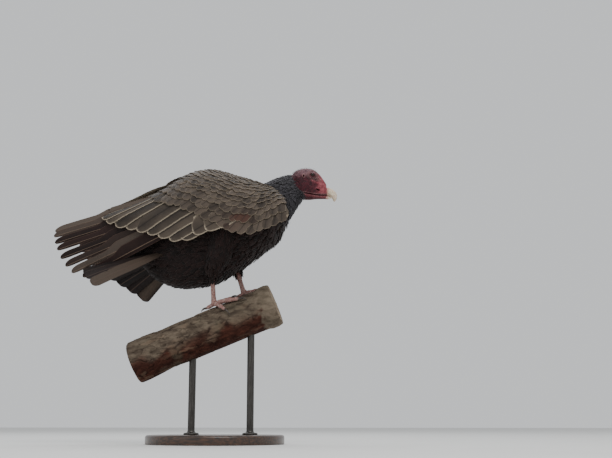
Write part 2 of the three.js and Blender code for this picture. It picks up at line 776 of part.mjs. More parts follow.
for (const side of ['right', 'left']) {
  const sign = side === 'left' ? 1 : -1;
  const place = (solid) => (sign > 0 ? solid.translate(LEFT_WING.toArray()) : mirrored(solid));
  const foot = FEET[side];
  const footRoom = footSolid(foot, GAP);
  const tarsusRoom = tarsusSolid(foot, GAP);
  const thighRoom = thighSolid(side, GAP);
  addPart(bird, `eye_${side}`, eyeSolid(sign), COLOURS.eye, 0.2);
  addPart(bird, `thigh_${side}`, cut(thighSolid(side), trunkRoom, tarsusRoom), COLOURS.dark_feather);
  addPart(bird, `tarsus_${side}`, cut(tarsusSolid(foot), footRoom, trunkRoom), COLOURS.leg_skin);
  addPart(bird, `foot_${side}`, cut(footSolid(foot), perchRoom), COLOURS.leg_skin);
  for (const [name, toe] of Object.entries(TOES)) {
    addPart(bird, `claw_${name}_${side}`, cut(clawSolid(foot, toe), footRoom, perchRoom), COLOURS.claw, 0.5);
  }
  addPart(bird, `wing_coverts_${side}`, cut(place(coverts), trunkRoom, neckRoom, thighRoom), COLOURS.wing_feather);
  const secondaries = cut(place(secondarySolid()), trunkRoom, place(covertRoom), thighRoom);
  addPart(bird, `wing_secondaries_${side}`, secondaries, COLOURS.wing_feather);
  const primaries = cut(
    primariesSolid(sign),
    place(secondaryRoom),
    place(covertRoom),
    trunkRoom,
    tailRoom,
    thighRoom,
  );
  addPart(bird, `wing_primaries_${side}`, primaries, COLOURS.flight_feather);
}

addPart(bird, 'perch', perch, COLOURS.bark, 0.95);
addPart(bird, 'stand_rod_front', cut(rodSolid(ROD_PLACES[0]), perchRoom), COLOURS.stand_metal, 0.45, 0.7);
addPart(bird, 'stand_rod_rear', cut(rodSolid(ROD_PLACES[1]), perchRoom), COLOURS.stand_metal, 0.45, 0.7);
addPart(model, 'stand_base', baseSolid(), COLOURS.stand_wood, 0.6);

export default model;
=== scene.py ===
# The looks of the turkey vulture on its perch and stand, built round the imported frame.
# Lengths in the tables are millimetres from PERCH_POINT, the top of the perch between the feet;
# the bird faces +X, its middle plane is y = 0 and its left side is +Y. Objects are in metres.
import math

import bmesh
import bpy
import numpy as np
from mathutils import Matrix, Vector


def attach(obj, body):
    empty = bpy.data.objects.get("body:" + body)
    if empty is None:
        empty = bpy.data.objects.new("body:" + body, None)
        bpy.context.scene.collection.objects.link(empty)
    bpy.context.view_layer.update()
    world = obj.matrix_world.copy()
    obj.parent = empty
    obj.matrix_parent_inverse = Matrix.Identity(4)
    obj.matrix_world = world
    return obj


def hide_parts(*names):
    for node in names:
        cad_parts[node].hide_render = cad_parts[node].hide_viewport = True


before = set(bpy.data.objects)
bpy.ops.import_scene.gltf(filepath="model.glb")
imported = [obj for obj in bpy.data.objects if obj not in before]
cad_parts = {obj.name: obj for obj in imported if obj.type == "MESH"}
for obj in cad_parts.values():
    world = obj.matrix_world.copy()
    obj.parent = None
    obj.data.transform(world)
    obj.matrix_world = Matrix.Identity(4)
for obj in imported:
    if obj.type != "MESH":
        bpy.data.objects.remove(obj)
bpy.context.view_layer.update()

MM = 0.001
PERCH_POINT = np.array([25.0, 3.0, 280.0])

# ---------- driving sizes, as in the frame ----------
PERCH_RADIUS = 41
PERCH_HEADING = 8
PERCH_SLOPE = 22
PERCH_AHEAD = 82
PERCH_BEHIND = 222
BASE_RADIUS = 135
BASE_THICKNESS = 18
ROD_RADIUS = 7
ROD_PLACES = (30, -95)
EYE_RADIUS = 6.4
EYE_SPREAD = 13.4
HEAD_CENTRE = np.array([167.5, 7.9, 248.0])
HEAD_TURN = 13

# ---------- photograph's view ----------
VIEW_YAW = 13  # degrees from square-on to the bird's right side, towards its front
VIEW_RISE = -11.5  # the camera looks up at the bird
VIEW_DISTANCE = 1.92
VIEW_HALF_WIDTH = 0.612  # half the width seen at the bird
VIEW_AIM = Vector((0.1795, 0.0093, 0.421))


# ---------- small helpers ----------
def rad(degrees):
    return math.radians(degrees)


def smooth(t):
    s = np.clip(t, 0, 1)
    return s * s * (3 - 2 * s)


def mix(a, b, t):
    return a + (b - a) * t


def unit(v):
    return v / np.maximum(np.linalg.norm(v, axis=-1, keepdims=True), 1e-12)


def bell(x, width):
    """1 at zero, falling smoothly to nothing about two widths away."""
    return np.exp(-((x / width) ** 2))


def power(x, exponent):
    """A power that keeps the sign, which squares off or sharpens a circle's sine and cosine."""
    return np.sign(x) * np.abs(x) ** exponent


def turns(around):
    """Evenly spread angles of one full turn."""
    return np.arange(around) * 2 * math.pi / around


def arrays(*values):
    """Numbers and arrays as float arrays of one common shape."""
    return np.broadcast_arrays(*(np.asarray(v, float) for v in values))


def columns_of(table, station):
    """The columns of a table at any stations, one array for each."""
    return np.moveaxis(read(table, station), -1, 0)


def read(table, station):
    """Values of a table of [station, value, ...] rows at any stations, smooth between the rows."""
    rows = np.array(table, float)
    if rows[0, 0] > rows[-1, 0]:
        rows = rows[::-1]
    s = np.asarray(station, float)
    flat = s.ravel()
    k = np.clip(np.searchsorted(rows[:, 0], flat, side="right") - 1, 0, len(rows) - 2)
    before, a, b = rows[np.maximum(k - 1, 0)], rows[k], rows[k + 1]
    after = rows[np.minimum(k + 2, len(rows) - 1)]
    span = b[:, :1] - a[:, :1]
    t = np.clip((flat[:, None] - a[:, :1]) / span, 0, 1)
    into = (b - before) / (b[:, :1] - before[:, :1]) * span
    out = (after - a) / (after[:, :1] - a[:, :1]) * span
    value = a * (2 * t**3 - 3 * t**2 + 1) + into * (t**3 - 2 * t**2 + t)
    value = value + b * (3 * t**2 - 2 * t**3) + out * (t**3 - t**2)
    return value[:, 1:].reshape(s.shape + (rows.shape[1] - 1,))


def noise(p, size, seed=0):
    """Smooth noise from -1 to 1 at points p, made of a few slanted waves about 'size' long."""
    random = np.random.default_rng(seed)
    total = np.zeros(p.shape[:-1])
    waves = 9
    for _ in range(waves):
        direction = unit(random.normal(size=3)) * 2 * math.pi / size * random.uniform(0.6, 1.6)
        bend = unit(random.normal(size=3)) * 2 * math.pi / size * 0.45
        phase = random.uniform(0, 6.28)
        total += np.sin(p @ direction + 1.3 * np.sin(p @ bend + phase) + phase)
    return total / (waves * 0.55)


def to_world(p):
    return (np.asarray(p, float) + PERCH_POINT) * MM


def grid_faces(rows, columns, wrap=False):
    """Quads of a grid of points numbered row by row. 'wrap' joins the last column to the first."""
    i, j = np.meshgrid(np.arange(rows - 1), np.arange(columns if wrap else columns - 1), indexing="ij")
    a = i * columns + j
    b = i * columns + (j + 1) % columns
    return np.stack([a, b, b + columns, a + columns], -1).reshape(-1, 4)


def new_object(name, points, faces, world=False):
    """A mesh object from points and a list of face arrays, each with one number of corners."""
    mesh = bpy.data.meshes.new(name)
    co = np.asarray(points, np.float32) if world else to_world(points).astype(np.float32)
    mesh.vertices.add(len(co))
    mesh.vertices.foreach_set("co", co.ravel())
    faces = [f for f in faces if len(f)]
    corners = np.concatenate([f.ravel() for f in faces]).astype(np.int32)
    counts = np.concatenate([np.full(len(f), f.shape[1]) for f in faces])
    starts = np.concatenate([[0], np.cumsum(counts)[:-1]]).astype(np.int32)
    mesh.loops.add(len(corners))
    mesh.loops.foreach_set("vertex_index", corners)
    mesh.polygons.add(len(starts))
    mesh.polygons.foreach_set("loop_start", starts)
    mesh.update(calc_edges=True)
    mesh.polygons.foreach_set("use_smooth", np.ones(len(starts), bool))
    piece = bpy.data.objects.new(name, mesh)
    bpy.context.scene.collection.objects.link(piece)
    return piece


def loft(name, rings):
    """A closed tube through rings (count, around, 3), with its ends closed to their middles."""
    rings = np.asarray(rings, float)
    count, around = rings.shape[:2]
    points = np.concatenate([rings.reshape(-1, 3), rings[:1].mean(1), rings[-1:].mean(1)])
    j = np.arange(around)
    first = np.stack([np.full(around, count * around), (j + 1) % around, j], -1)
    last_ring = (count - 1) * around
    last = np.stack([np.full(around, count * around + 1), last_ring + j, last_ring + (j + 1) % around], -1)
    return new_object(name, points, [grid_faces(count, around, wrap=True), first, last])


def ring(centre, side, up, half, rise, drop, around, squareness=2.0):
    """Points of rounded cross-sections; sizes and places may be one value or one for each ring."""
    angle = turns(around)
    c, s = power(np.cos(angle), 2 / squareness), power(np.sin(angle), 2 / squareness)
    half, rise, drop = (np.asarray(v, float).reshape(-1, 1) for v in (half, rise, drop))
    height = np.where(s > 0, s * rise, s * drop)
    centre, side, up = (np.atleast_2d(v)[:, None, :] for v in (centre, side, up))
    return centre + side * (c * half)[..., None] + up * height[..., None]


def run_along(points):
    """The length run along a line of points, at each of them."""
    return np.concatenate([[0], np.cumsum(np.linalg.norm(np.diff(points, axis=0), axis=1))])


def path_frame(points, t, over, e=2e-3):
    """Places, sides and upper sides at shares t of a smooth path through the points."""
    knots = np.array(points, float)
    run = run_along(knots)
    table = np.concatenate([run[:, None] / run[-1], knots], 1)
    ahead = unit(read(table, np.clip(t + e, 0, 1)) - read(table, np.clip(t - e, 0, 1)))
    side = unit(np.cross(np.array(over, float), ahead))
    return read(table, t), side, np.cross(ahead, side)


def tube_rings(points, radii, count, around, over=(0, 1, 0.001)):
    t = np.linspace(0, 1, count)
    centre, side, up = path_frame(points, t, over, 1e-3)
    radius = read(radii, t)[..., 0]
    return ring(centre, side, up, radius, radius, radius, around)


def apply_modifier(piece, kind, **values):
    modifier = piece.modifiers.new(kind.lower(), kind)
    for key, value in values.items():
        setattr(modifier, key, value)
    graph = bpy.context.evaluated_depsgraph_get()
    mesh = bpy.data.meshes.new_from_object(piece.evaluated_get(graph))
    piece.modifiers.clear()
    old = piece.data
    piece.data = mesh
    bpy.data.meshes.remove(old)


def join(name, pieces):
    """One object holding all the given meshes, in their order."""
    whole = bmesh.new()
    for piece in pieces:
        whole.from_mesh(piece.data)
        bpy.data.objects.remove(piece)
    mesh = bpy.data.meshes.new(name)
    whole.to_mesh(mesh)
    whole.free()
    joined = bpy.data.objects.new(name, mesh)
    bpy.context.scene.collection.objects.link(joined)
    return joined


def mesh_points(piece):
    co = np.empty(len(piece.data.vertices) * 3, np.float32)
    piece.data.vertices.foreach_get("co", co)
    return co.reshape(-1, 3).astype(float) / MM - PERCH_POINT


def set_points(piece, points):
    piece.data.vertices.foreach_set("co", to_world(points).astype(np.float32).ravel())
    piece.data.update()


def mesh_normals(piece):
    normals = np.empty(len(piece.data.vertices) * 3, np.float32)
    piece.data.vertex_normals.foreach_get("vector", normals)
    return normals.reshape(-1, 3).astype(float)


def set_attributes(piece, **named):
    """Numbers or vectors at the vertices, which the materials read."""
    for name, values in named.items():
        values = np.asarray(values, np.float32)
        kind, key = ("FLOAT", "value") if values.ndim == 1 else ("FLOAT_VECTOR", "vector")
        piece.data.attributes.new(name, kind, "POINT").data.foreach_set(key, values.ravel())


def set_bake_map(piece, uv):
    layer = piece.data.uv_layers.new(name="OFBake")
    layer.uv.foreach_set("vector", np.clip(uv, 0, 1).astype(np.float32).ravel())


def finish_piece(piece, material, replaced=()):
    piece.data.materials.clear()
    piece.data.materials.append(material)
    piece.data.polygons.foreach_set("use_smooth", np.ones(len(piece.data.polygons), bool))
    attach(piece, "root")
    if replaced:
        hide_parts(*replaced)
    return piece


SIDES = {"right": -1, "left": 1}


# ---------- materials ----------
def colour(red, green, blue):
    """A linear colour from the usual 0 to 255 values."""
    out = []
    for value in (red, green, blue):
        c = value / 255
        out.append(c / 12.92 if c <= 0.04045 else ((c + 0.055) / 1.055) ** 2.4)
    return (*out, 1.0)


class Shader:
    """One node material, built by short calls. Values are sockets or plain numbers and colours."""

    def __init__(self, name, roughness, specular=0.4, **sockets):
        self.material = bpy.data.materials.new(name)
        self.material.use_nodes = True
        self.tree = self.material.node_tree
        self.bsdf = self.tree.nodes["Principled BSDF"]
        self.set("Roughness", roughness)
        self.set("Specular IOR Level", specular)
        for key, value in sockets.items():
            self.set(key.replace("_", " "), value)

    def set(self, name, value):
        self.plug(self.bsdf.inputs[name], value)

    def plug(self, socket, value):
        if isinstance(value, bpy.types.NodeSocket):
            self.tree.links.new(value, socket)
        else:
            socket.default_value = value

    def node(self, kind, inputs=(), **settings):
        node = self.tree.nodes.new(kind)
        for key, value in settings.items():
            setattr(node, key, value)
        for key, value in dict(inputs).items():
            self.plug(node.inputs[key], value)
        return node

    def attribute(self, name):
        return self.node("ShaderNodeAttribute", attribute_name=name)

    def value(self, name):
        return self.attribute(name).outputs["Fac"]

    def axes(self, name):
        split = self.node("ShaderNodeSeparateXYZ", {"Vector": self.attribute(name).outputs["Vector"]})
        return split.outputs

    def math(self, operation, a, b=0.0):
        return self.node("ShaderNodeMath", {0: a, 1: b}, operation=operation).outputs[0]

    def ramp(self, value, low, high):
        """0 below 'low', 1 above 'high', smooth between."""
        node = self.node("ShaderNodeMapRange", {"Value": value, "From Min": low, "From Max": high})
        node.interpolation_type = "SMOOTHSTEP"
        return node.outputs["Result"]

    def mix(self, share, a, b):
        node = self.node("ShaderNodeMix", {"Factor": share}, data_type="RGBA")
        self.plug(node.inputs[6], a)
        self.plug(node.inputs[7], b)
        return node.outputs[2]

    def shades(self, value, low, high, dark, light):
        """From a dark colour to a light one as a value goes from low to high."""
        return self.mix(self.ramp(value, low, high), colour(*dark), colour(*light))

    def tint(self, body, value, share, paint):
        """Lays a colour over the body by a share of a value."""
        return self.mix(self.math("MULTIPLY", value, share), body, colour(*paint))

    def place(self):
        return self.node("ShaderNodeTexCoord").outputs["Object"]

    def stretched(self, x, y, z):
        mapping = self.node("ShaderNodeMapping", {"Vector": self.place(), "Scale": (x, y, z)})
        return mapping.outputs[0]

    def noise(self, scale, detail=3.0, vector=None, roughness=0.55):
        inputs = {"Scale": scale, "Detail": detail, "Roughness": roughness}
        inputs["Vector"] = self.place() if vector is None else vector
        return self.node("ShaderNodeTexNoise", inputs).outputs["Fac"]

    def bump(self, height, depth, before=None):
        inputs = {"Height": height, "Distance": depth, "Strength": 1.0}
        if before is not None:
            inputs["Normal"] = before
        return self.node("ShaderNodeBump", inputs).outputs["Normal"]


BARB_SHARE = 0.14  # how much the gaps between barbs darken a feather
BARB_DEPTH = 0.00006
VANE_DEPTH = 0.00012


def feather_material(name, dark, light, edge, shaft, *, edge_share, rough=0.62, other=None, sheen=0.05):
    """Feather vanes: a darker middle, paler worn edges, a shaft line and fine barbs; 'other' is the colour
    of the few feathers that differ, which on the primaries is painted light, a lit grey-brown. Colours are
    0 to 255 values."""
    s = Shader(name, rough, specular=0.2, Sheen_Weight=sheen, Sheen_Roughness=0.5)
    vane = s.axes("vane")
    side = s.math("ABSOLUTE", vane["X"])
    patches = s.noise(38.0, 4.0)
    fine = s.noise(420.0, 2.0)
    barbs = s.math("SINE", s.value("barb"))
    shade = s.math("ADD", s.math("MULTIPLY", vane["Z"], 0.5), s.math("MULTIPLY", patches, 0.5))
    shade = s.math("ADD", shade, s.math("MULTIPLY", side, 0.3))
    body = s.shades(shade, 0.2, 1.0, dark, light)
    if other is not None:
        body = s.tint(body, s.value("other"), 0.8, other)
    worn = s.ramp(s.math("ADD", s.value("rim"), s.math("MULTIPLY", fine, 0.4)), 0.55, 1.15)
    body = s.tint(body, worn, edge_share, edge)
    streak = s.math("SUBTRACT", 1.0, s.ramp(side, 0.02, 0.09))
    body = s.tint(body, streak, 0.75, shaft)
    body = s.tint(body, s.ramp(barbs, -0.2, 1.0), BARB_SHARE, dark)
    s.set("Base Color", body)
    s.set("Normal", s.bump(fine, VANE_DEPTH, s.bump(barbs, BARB_DEPTH)))
    return s.material


def skin_material():
    """Bare skin of head and legs, and the dark down that the feathers cover."""
    s = Shader("skin", 0.5, specular=0.3, Subsurface_Weight=0.06, Subsurface_Scale=0.004)
    s.set("Subsurface Radius", (1.0, 0.35, 0.25))
    mottle = s.noise(170.0, 4.0)
    fine = s.noise(900.0, 3.0)
    cheek = s.shades(mottle, 0.3, 0.75, (46, 11, 20), (84, 28, 39))
    crown = s.shades(mottle, 0.3, 0.7, (74, 44, 52), (116, 80, 86))
    cere = s.shades(mottle, 0.3, 0.7, (112, 42, 52), (150, 78, 84))
    body = s.mix(s.value("crown"), cheek, crown)
    body = s.mix(s.value("cere"), body, cere)
    body = s.tint(body, s.value("pale"), 0.85, (166, 132, 128))
    # painted shade: dark red in the wrinkle folds, the ear and nostril holes, the mouth slit, round the
    # warts and behind the lids, with a dark line along the lid edges
    body = s.tint(body, s.value("groove"), 0.85, (38, 6, 16))
    leg = s.shades(mottle, 0.3, 0.7, (134, 96, 90), (166, 132, 124))
    leg = s.tint(leg, s.value("scale_gap"), 0.7, (92, 58, 58))
    leg = s.mix(s.value("whitewash"), leg, colour(182, 172, 162))
    body = s.mix(s.value("leg"), body, leg)
    down = s.mix(s.value("wing"), colour(24, 16, 15), colour(62, 54, 47))
    down = s.mix(s.value("slate"), down, colour(36, 34, 38))
    body = s.mix(s.value("down"), body, down)
    s.set("Base Color", body)
    s.set("Roughness", s.math("ADD", 0.42, s.math("MULTIPLY", mottle, 0.3)))
    s.set("Normal", s.bump(s.math("ADD", fine, s.math("MULTIPLY", mottle, 1.6)), 0.00025))
    return s.material


def eye_material():
    s = Shader("eye", 0.06, specular=0.3)
    ray = s.noise(700.0, 2.0)
    iris = s.shades(ray, 0.35, 0.7, (28, 16, 11), (58, 38, 27))
    body = s.mix(s.value("pupil"), iris, colour(4, 3, 3))
    body = s.mix(s.value("white"), body, colour(30, 18, 17))
    s.set("Base Color", body)
    return s.material


def horn_material():
    """Ivory bill horn: chalky, streaked along its length, darker where it grows from the cere."""
    s = Shader("bill_horn", 0.42, specular=0.45, Subsurface_Weight=0.08, Subsurface_Scale=0.002)
    streaks = s.noise(260.0, 4.0, s.stretched(0.35, 1.0, 0.7))
    body = s.shades(streaks, 0.3, 0.75, (190, 170, 146), (222, 208, 186))
    body = s.tint(body, s.value("root"), 0.7, (170, 104, 100))
    body = s.tint(body, s.value("edge"), 0.55, (132, 108, 88))
    s.set("Base Color", body)
    s.set("Normal", s.bump(streaks, 0.0003))
    return s.material


def claw_material():
    s = Shader("claw_horn", 0.36, specular=0.5)
    streaks = s.noise(500.0, 4.0)
    body = s.shades(streaks, 0.3, 0.75, (26, 22, 21), (78, 66, 58))
    body = s.tint(body, s.value("root"), 0.6, (118, 96, 88))
    s.set("Base Color", body)
    s.set("Normal", s.bump(streaks, 0.0002))
    return s.material


def bark_material():
    s = Shader("bark", 0.9, specular=0.15)
    broad = s.noise(22.0, 5.0)
    grain = s.noise(95.0, 7.0, s.stretched(0.4, 1.0, 1.0), 0.66)
    fine = s.noise(700.0, 4.0)
    top = s.shades(grain, 0.3, 0.72, (62, 52, 44), (112, 100, 86))
    under = s.shades(grain, 0.32, 0.72, (40, 20, 15), (80, 46, 36))
    red = s.ramp(s.math("ADD", s.value("under"), s.math("MULTIPLY", broad, 0.7)), 0.3, 1.35)
    body = s.mix(red, top, under)
    body = s.tint(body, s.ramp(broad, 0.52, 0.7), 0.35, (104, 98, 82))
    body = s.tint(body, s.value("crack"), 0.6, (30, 20, 16))
    body = s.tint(body, s.value("flake"), 0.25, (140, 118, 98))
    callus = s.shades(grain, 0.3, 0.7, (84, 74, 62), (122, 110, 95))
    body = s.mix(s.value("callus"), body, callus)
    s.set("Base Color", body)
    s.set("Normal", s.bump(fine, 0.0004, s.bump(grain, 0.002)))
    return s.material


def sawn_material():
    """Sawn end grain: rings round the pith, drying cracks and weathered grey."""
    s = Shader("sawn_wood", 0.8, specular=0.25)
    weather = s.noise(60.0, 5.0)
    fine = s.noise(600.0, 3.0)
    rings = s.math("SINE", s.math("MULTIPLY", s.value("ring_place"), 2 * math.pi))
    body = s.shades(weather, 0.3, 0.7, (116, 100, 82), (152, 137, 116))
    body = s.tint(body, s.ramp(rings, 0.1, 0.95), 0.45, (92, 66, 46))
    body = s.tint(body, s.value("crack"), 0.8, (50, 36, 26))
    body = s.tint(body, s.value("rim"), 0.85, (88, 64, 50))
    s.set("Base Color", body)
    s.set("Normal", s.bump(fine, 0.0003, s.bump(rings, 0.0003)))
    return s.material


def stand_wood_material():
    s = Shader("stand_wood", 0.34, specular=0.45, Coat_Weight=0.35, Coat_Roughness=0.22)
    grain = s.noise(34.0, 6.0, s.stretched(1.0, 9.0, 9.0), 0.6)
    pores = s.noise(520.0, 3.0, s.stretched(0.25, 1.6, 1.6))
    body = s.shades(grain, 0.32, 0.7, (34, 24, 19), (82, 56, 40))
    body = s.tint(body, s.ramp(pores, 0.56, 0.72), 0.5, (20, 14, 11))
    s.set("Base Color", body)
    s.set("Normal", s.bump(pores, 0.00012))
    return s.material


def stand_metal_material():
    s = Shader("stand_metal", 0.38, specular=0.5, Metallic=0.9)
    brushed = s.noise(900.0, 3.0, s.stretched(1.0, 1.0, 0.05))
    body = s.shades(brushed, 0.3, 0.7, (58, 56, 54), (88, 85, 82))
    s.set("Base Color", body)
    s.set("Roughness", s.math("ADD", 0.28, s.math("MULTIPLY", brushed, 0.24)))
    s.set("Normal", s.bump(brushed, 0.00006))
    return s.material


def floor_material():
    s = Shader("floor_paint", 0.75, specular=0.25)
    s.set("Base Color", s.mix(s.noise(6.0, 3.0), colour(214, 214, 212), colour(222, 222, 220)))
    return s.material


# ---------- camera, lights and floor ----------
def make_camera():
    yaw, rise = rad(VIEW_YAW), rad(VIEW_RISE)
    towards = Vector((math.sin(yaw) * math.cos(rise), -math.cos(yaw) * math.cos(rise), math.sin(rise)))
    data = bpy.data.cameras.new("camera")
    data.sensor_width = 36
    data.lens = 0.5 * data.sensor_width * VIEW_DISTANCE / VIEW_HALF_WIDTH
    data.clip_start = 0.02
    camera = bpy.data.objects.new("camera", data)
    camera.location = VIEW_AIM + towards * VIEW_DISTANCE
    camera.rotation_euler = (-towards).to_track_quat("-Z", "Y").to_euler()
    bpy.context.scene.collection.objects.link(camera)
    bpy.context.scene.camera = camera


def make_light(name, place, aim, size, power, tint=(1, 1, 1)):
    data = bpy.data.lights.new(name, "AREA")
    data.shape = "DISK"
    data.size = size
    data.energy = power
    data.color = tint
    lamp = bpy.data.objects.new(name, data)
    lamp.location = place
    lamp.rotation_euler = (Vector(place) - Vector(aim)).to_track_quat("Z", "Y").to_euler()
    bpy.context.scene.collection.objects.link(lamp)


def make_stage():
    middle = (0.0, 0.0, 0.4)
    make_light("key_light", (0.9, -1.5, 2.3), middle, 1.6, 36, (1.0, 0.985, 0.96))
    make_light("sky_light", (-0.6, 0.9, 2.6), middle, 2.4, 34, (0.95, 0.98, 1.0))
    make_light("fill_light", (-1.6, -2.0, 0.9), middle, 1.8, 4)
    world = bpy.data.worlds.new("studio")
    world.use_nodes = True
    background = world.node_tree.nodes["Background"]
    background.inputs["Color"].default_value = (0.86, 0.88, 0.9, 1)
    background.inputs["Strength"].default_value = 0.85
    bpy.context.scene.world = world
    reach = 9.0
    corners = np.array([[-reach, -reach, 0], [reach, -reach, 0], [reach, reach, 0], [-reach, reach, 0]])
    floor = new_object("floor", corners, [np.array([[0, 1, 2, 3]])], world=True)
    floor.data.materials.append(floor_material())


# ---------- stand ----------
def lathe(profile, around):
    """Rings of points, in metres, turned from a profile of (radius, height) in millimetres."""
    angle = turns(around)
    profile = np.array(profile, float)
    x = profile[:, :1] * np.cos(angle)
    y = profile[:, :1] * np.sin(angle)
    z = np.repeat(profile[:, 1:], around, axis=1)
    return np.stack([x, y, z], -1)


def make_stand():
    edge = 5.0
    arc = [
        (BASE_RADIUS - edge + edge * math.sin(a), BASE_THICKNESS - edge + edge * math.cos(a))
        for a in np.linspace(0, math.pi / 2, 9)
    ]
    groove_shape = ((0, 0), (-0.5, 0.9), (-1.5, 0.9), (-2, 0))
    groove = [(BASE_RADIUS - 17.5 + dx, BASE_THICKNESS - dz) for dx, dz in groove_shape]
    profile = [(0.5, BASE_THICKNESS), *reversed(groove), *arc]
    profile += [(BASE_RADIUS, 1.5), (BASE_RADIUS - 0.5, 0.4), (BASE_RADIUS - 1.5, 0.0), (0.5, 0.0)]
    base = loft("stand_base_plate", lathe(profile[::-1], 160) - PERCH_POINT)
    finish_piece(base, stand_wood_material(), ["stand_base"])
    metal = stand_metal_material()
    for place, end in zip(ROD_PLACES, ("front", "rear")):
        foot = PERCH_CORE + ALONG * place
        top = foot[2] + PERCH_POINT[2] - 12
        flange = [(0.5, 0), (15, 0), (15, 2.6), (13.8, 3.8)]
        neck = [(ROD_RADIUS + 2.2, 4.4), (ROD_RADIUS + 0.8, 5.6), (ROD_RADIUS, 8)]
        collar = [(radius, BASE_THICKNESS + rise) for radius, rise in flange + neck]
        shaft = [(ROD_RADIUS, z) for z in np.linspace(BASE_THICKNESS + 12, top, 12)]
        rings = lathe([*collar, *shaft, (0.5, top)], 48) + np.array([foot[0], foot[1], 0])
        rings[..., 2] -= PERCH_POINT[2]
        post = loft(f"stand_post_{end}", rings)
        finish_piece(post, metal, [f"stand_rod_{end}"])


# ---------- perch ----------
def level(heading):
    """The level direction at a heading, in degrees from +X towards the left."""
    return np.array([math.cos(rad(heading)), math.sin(rad(heading)), 0])


UP = np.array([0, 0, 1.0])
ACROSS = level(PERCH_HEADING + 90)
ALONG = level(PERCH_HEADING) * math.cos(rad(PERCH_SLOPE)) + UP * math.sin(rad(PERCH_SLOPE))
OVER_PERCH = np.cross(ALONG, ACROSS)
PERCH_CORE = -PERCH_RADIUS * OVER_PERCH


def on_perch(distance, angle, height):
    """Points at a distance along the perch, an angle round it from its top and a height over its bark."""
    distance, angle, height = (v[..., None] for v in arrays(distance, angle, height))
    around = OVER_PERCH * np.cos(angle) + ACROSS * np.sin(angle)
    return PERCH_CORE + ALONG * distance + around * (PERCH_RADIUS + height)


def cells(x, y, seeds):
    """Distances from (x, y) to the nearest and second nearest seed, and which the nearest is."""
    first = np.full(x.shape, 1e9)
    second = np.full(x.shape, 1e9)
    nearest = np.zeros(x.shape, int)
    for number, (sx, sy) in enumerate(seeds):
        d = np.hypot(x - sx, y - sy)
        closer = d < first
        second = np.where(closer, first, np.minimum(second, d))
        nearest = np.where(closer, number, nearest)
        first = np.where(closer, d, first)
    return first, second, nearest


def bark_relief(distance, angle):
    """Height of the bark over the plain branch, and how much each point is crack or raised flake."""
    away = smooth((np.abs(distance + 5) - 75) / 40)
    swell = 1.6 * np.sin(distance / 23 + 1.4) * np.cos(angle * 2 + distance / 60)
    dip = 1.1 * np.sin(angle * 3 + distance / 31)
    base = away * (swell + dip) - 0.008 * np.minimum(distance + 90, 0)
    base += 2.6 * smooth((distance - 50) / 14) * (1 - 0.5 * smooth((distance - 72) / 9))
    girth = 2 * math.pi * PERCH_RADIUS
    around = angle / (2 * math.pi) * girth
    random = np.random.default_rng(11)
    plates = []
    for _ in range(240):
        sx, sy = random.uniform(-PERCH_BEHIND, PERCH_AHEAD) / 3.4, random.uniform(0, girth)
        plates += [(sx, sy + turn * girth) for turn in (-1, 0, 1)]
    bent = np.stack([distance, around, around * 0], -1)
    wander = 3.2 * noise(bent, 26, 5)
    first, second, nearest = cells(distance / 3.4 + wander, around + 3.4 * noise(bent, 12, 6), plates)
    gap = second - first
    depth = smooth((noise(bent * np.array([0.4, 1, 1]), 14, 8) + 0.45) / 0.9)
    crack = (1 - smooth((gap - 0.1) / 1.3)) * depth
    raised = np.random.default_rng(3).uniform(-1, 1, len(plates) // 3)[nearest // 3]
    flake = smooth((raised - 0.1) / 0.5) * smooth((gap - 1.0) / 2.5)
    fine = noise(bent * np.array([0.5, 1, 1]), 4.5, 9)
    height = base - 1.5 * crack * (0.5 + 0.5 * away) + 0.8 * (flake - 0.6) + 0.22 * fine - 0.35
    return height, crack, flake


SAWN_ROWS = 27  # rings of points on each sawn end


def sawn_end(distance, angle, height, sign):
    """A sawn end inside the bark's last ring: its points and the values that its material reads."""
    shares = np.concatenate([[0.004], np.linspace(0.06, 0.975, SAWN_ROWS - 1)])[:, None]
    rim = on_perch(distance, angle, height)
    pith = on_perch(distance[0], 0.0, -PERCH_RADIUS) + OVER_PERCH * 3.5 * sign + ACROSS * 2.0
    disc = pith + (rim - pith) * shares[..., None]
    split = bell(angle - 2.1, 0.02 + 0.05 * shares) * smooth((shares - 0.1) / 0.3)
    split += 0.7 * bell(angle - 4.6, 0.03) * smooth((0.6 - shares) / 0.2)
    saw = 0.25 * np.sin((disc @ (ACROSS * 0.8 + OVER_PERCH * 0.6)) / 1.1)
    push = (saw - 1.6 * split) * smooth((1 - shares) / 0.08)
    wobble = 1 + 0.05 * np.sin(angle * 3 + 0.6) + 0.03 * np.sin(angle * 7)
    ring_place = shares * PERCH_RADIUS * wobble / 2.3
    edge = np.repeat(smooth((shares - 0.9) / 0.06), len(angle), 1)
    return disc + ALONG * (sign * push)[..., None], ring_place, np.clip(split, 0, 1), edge, ring_place * 0


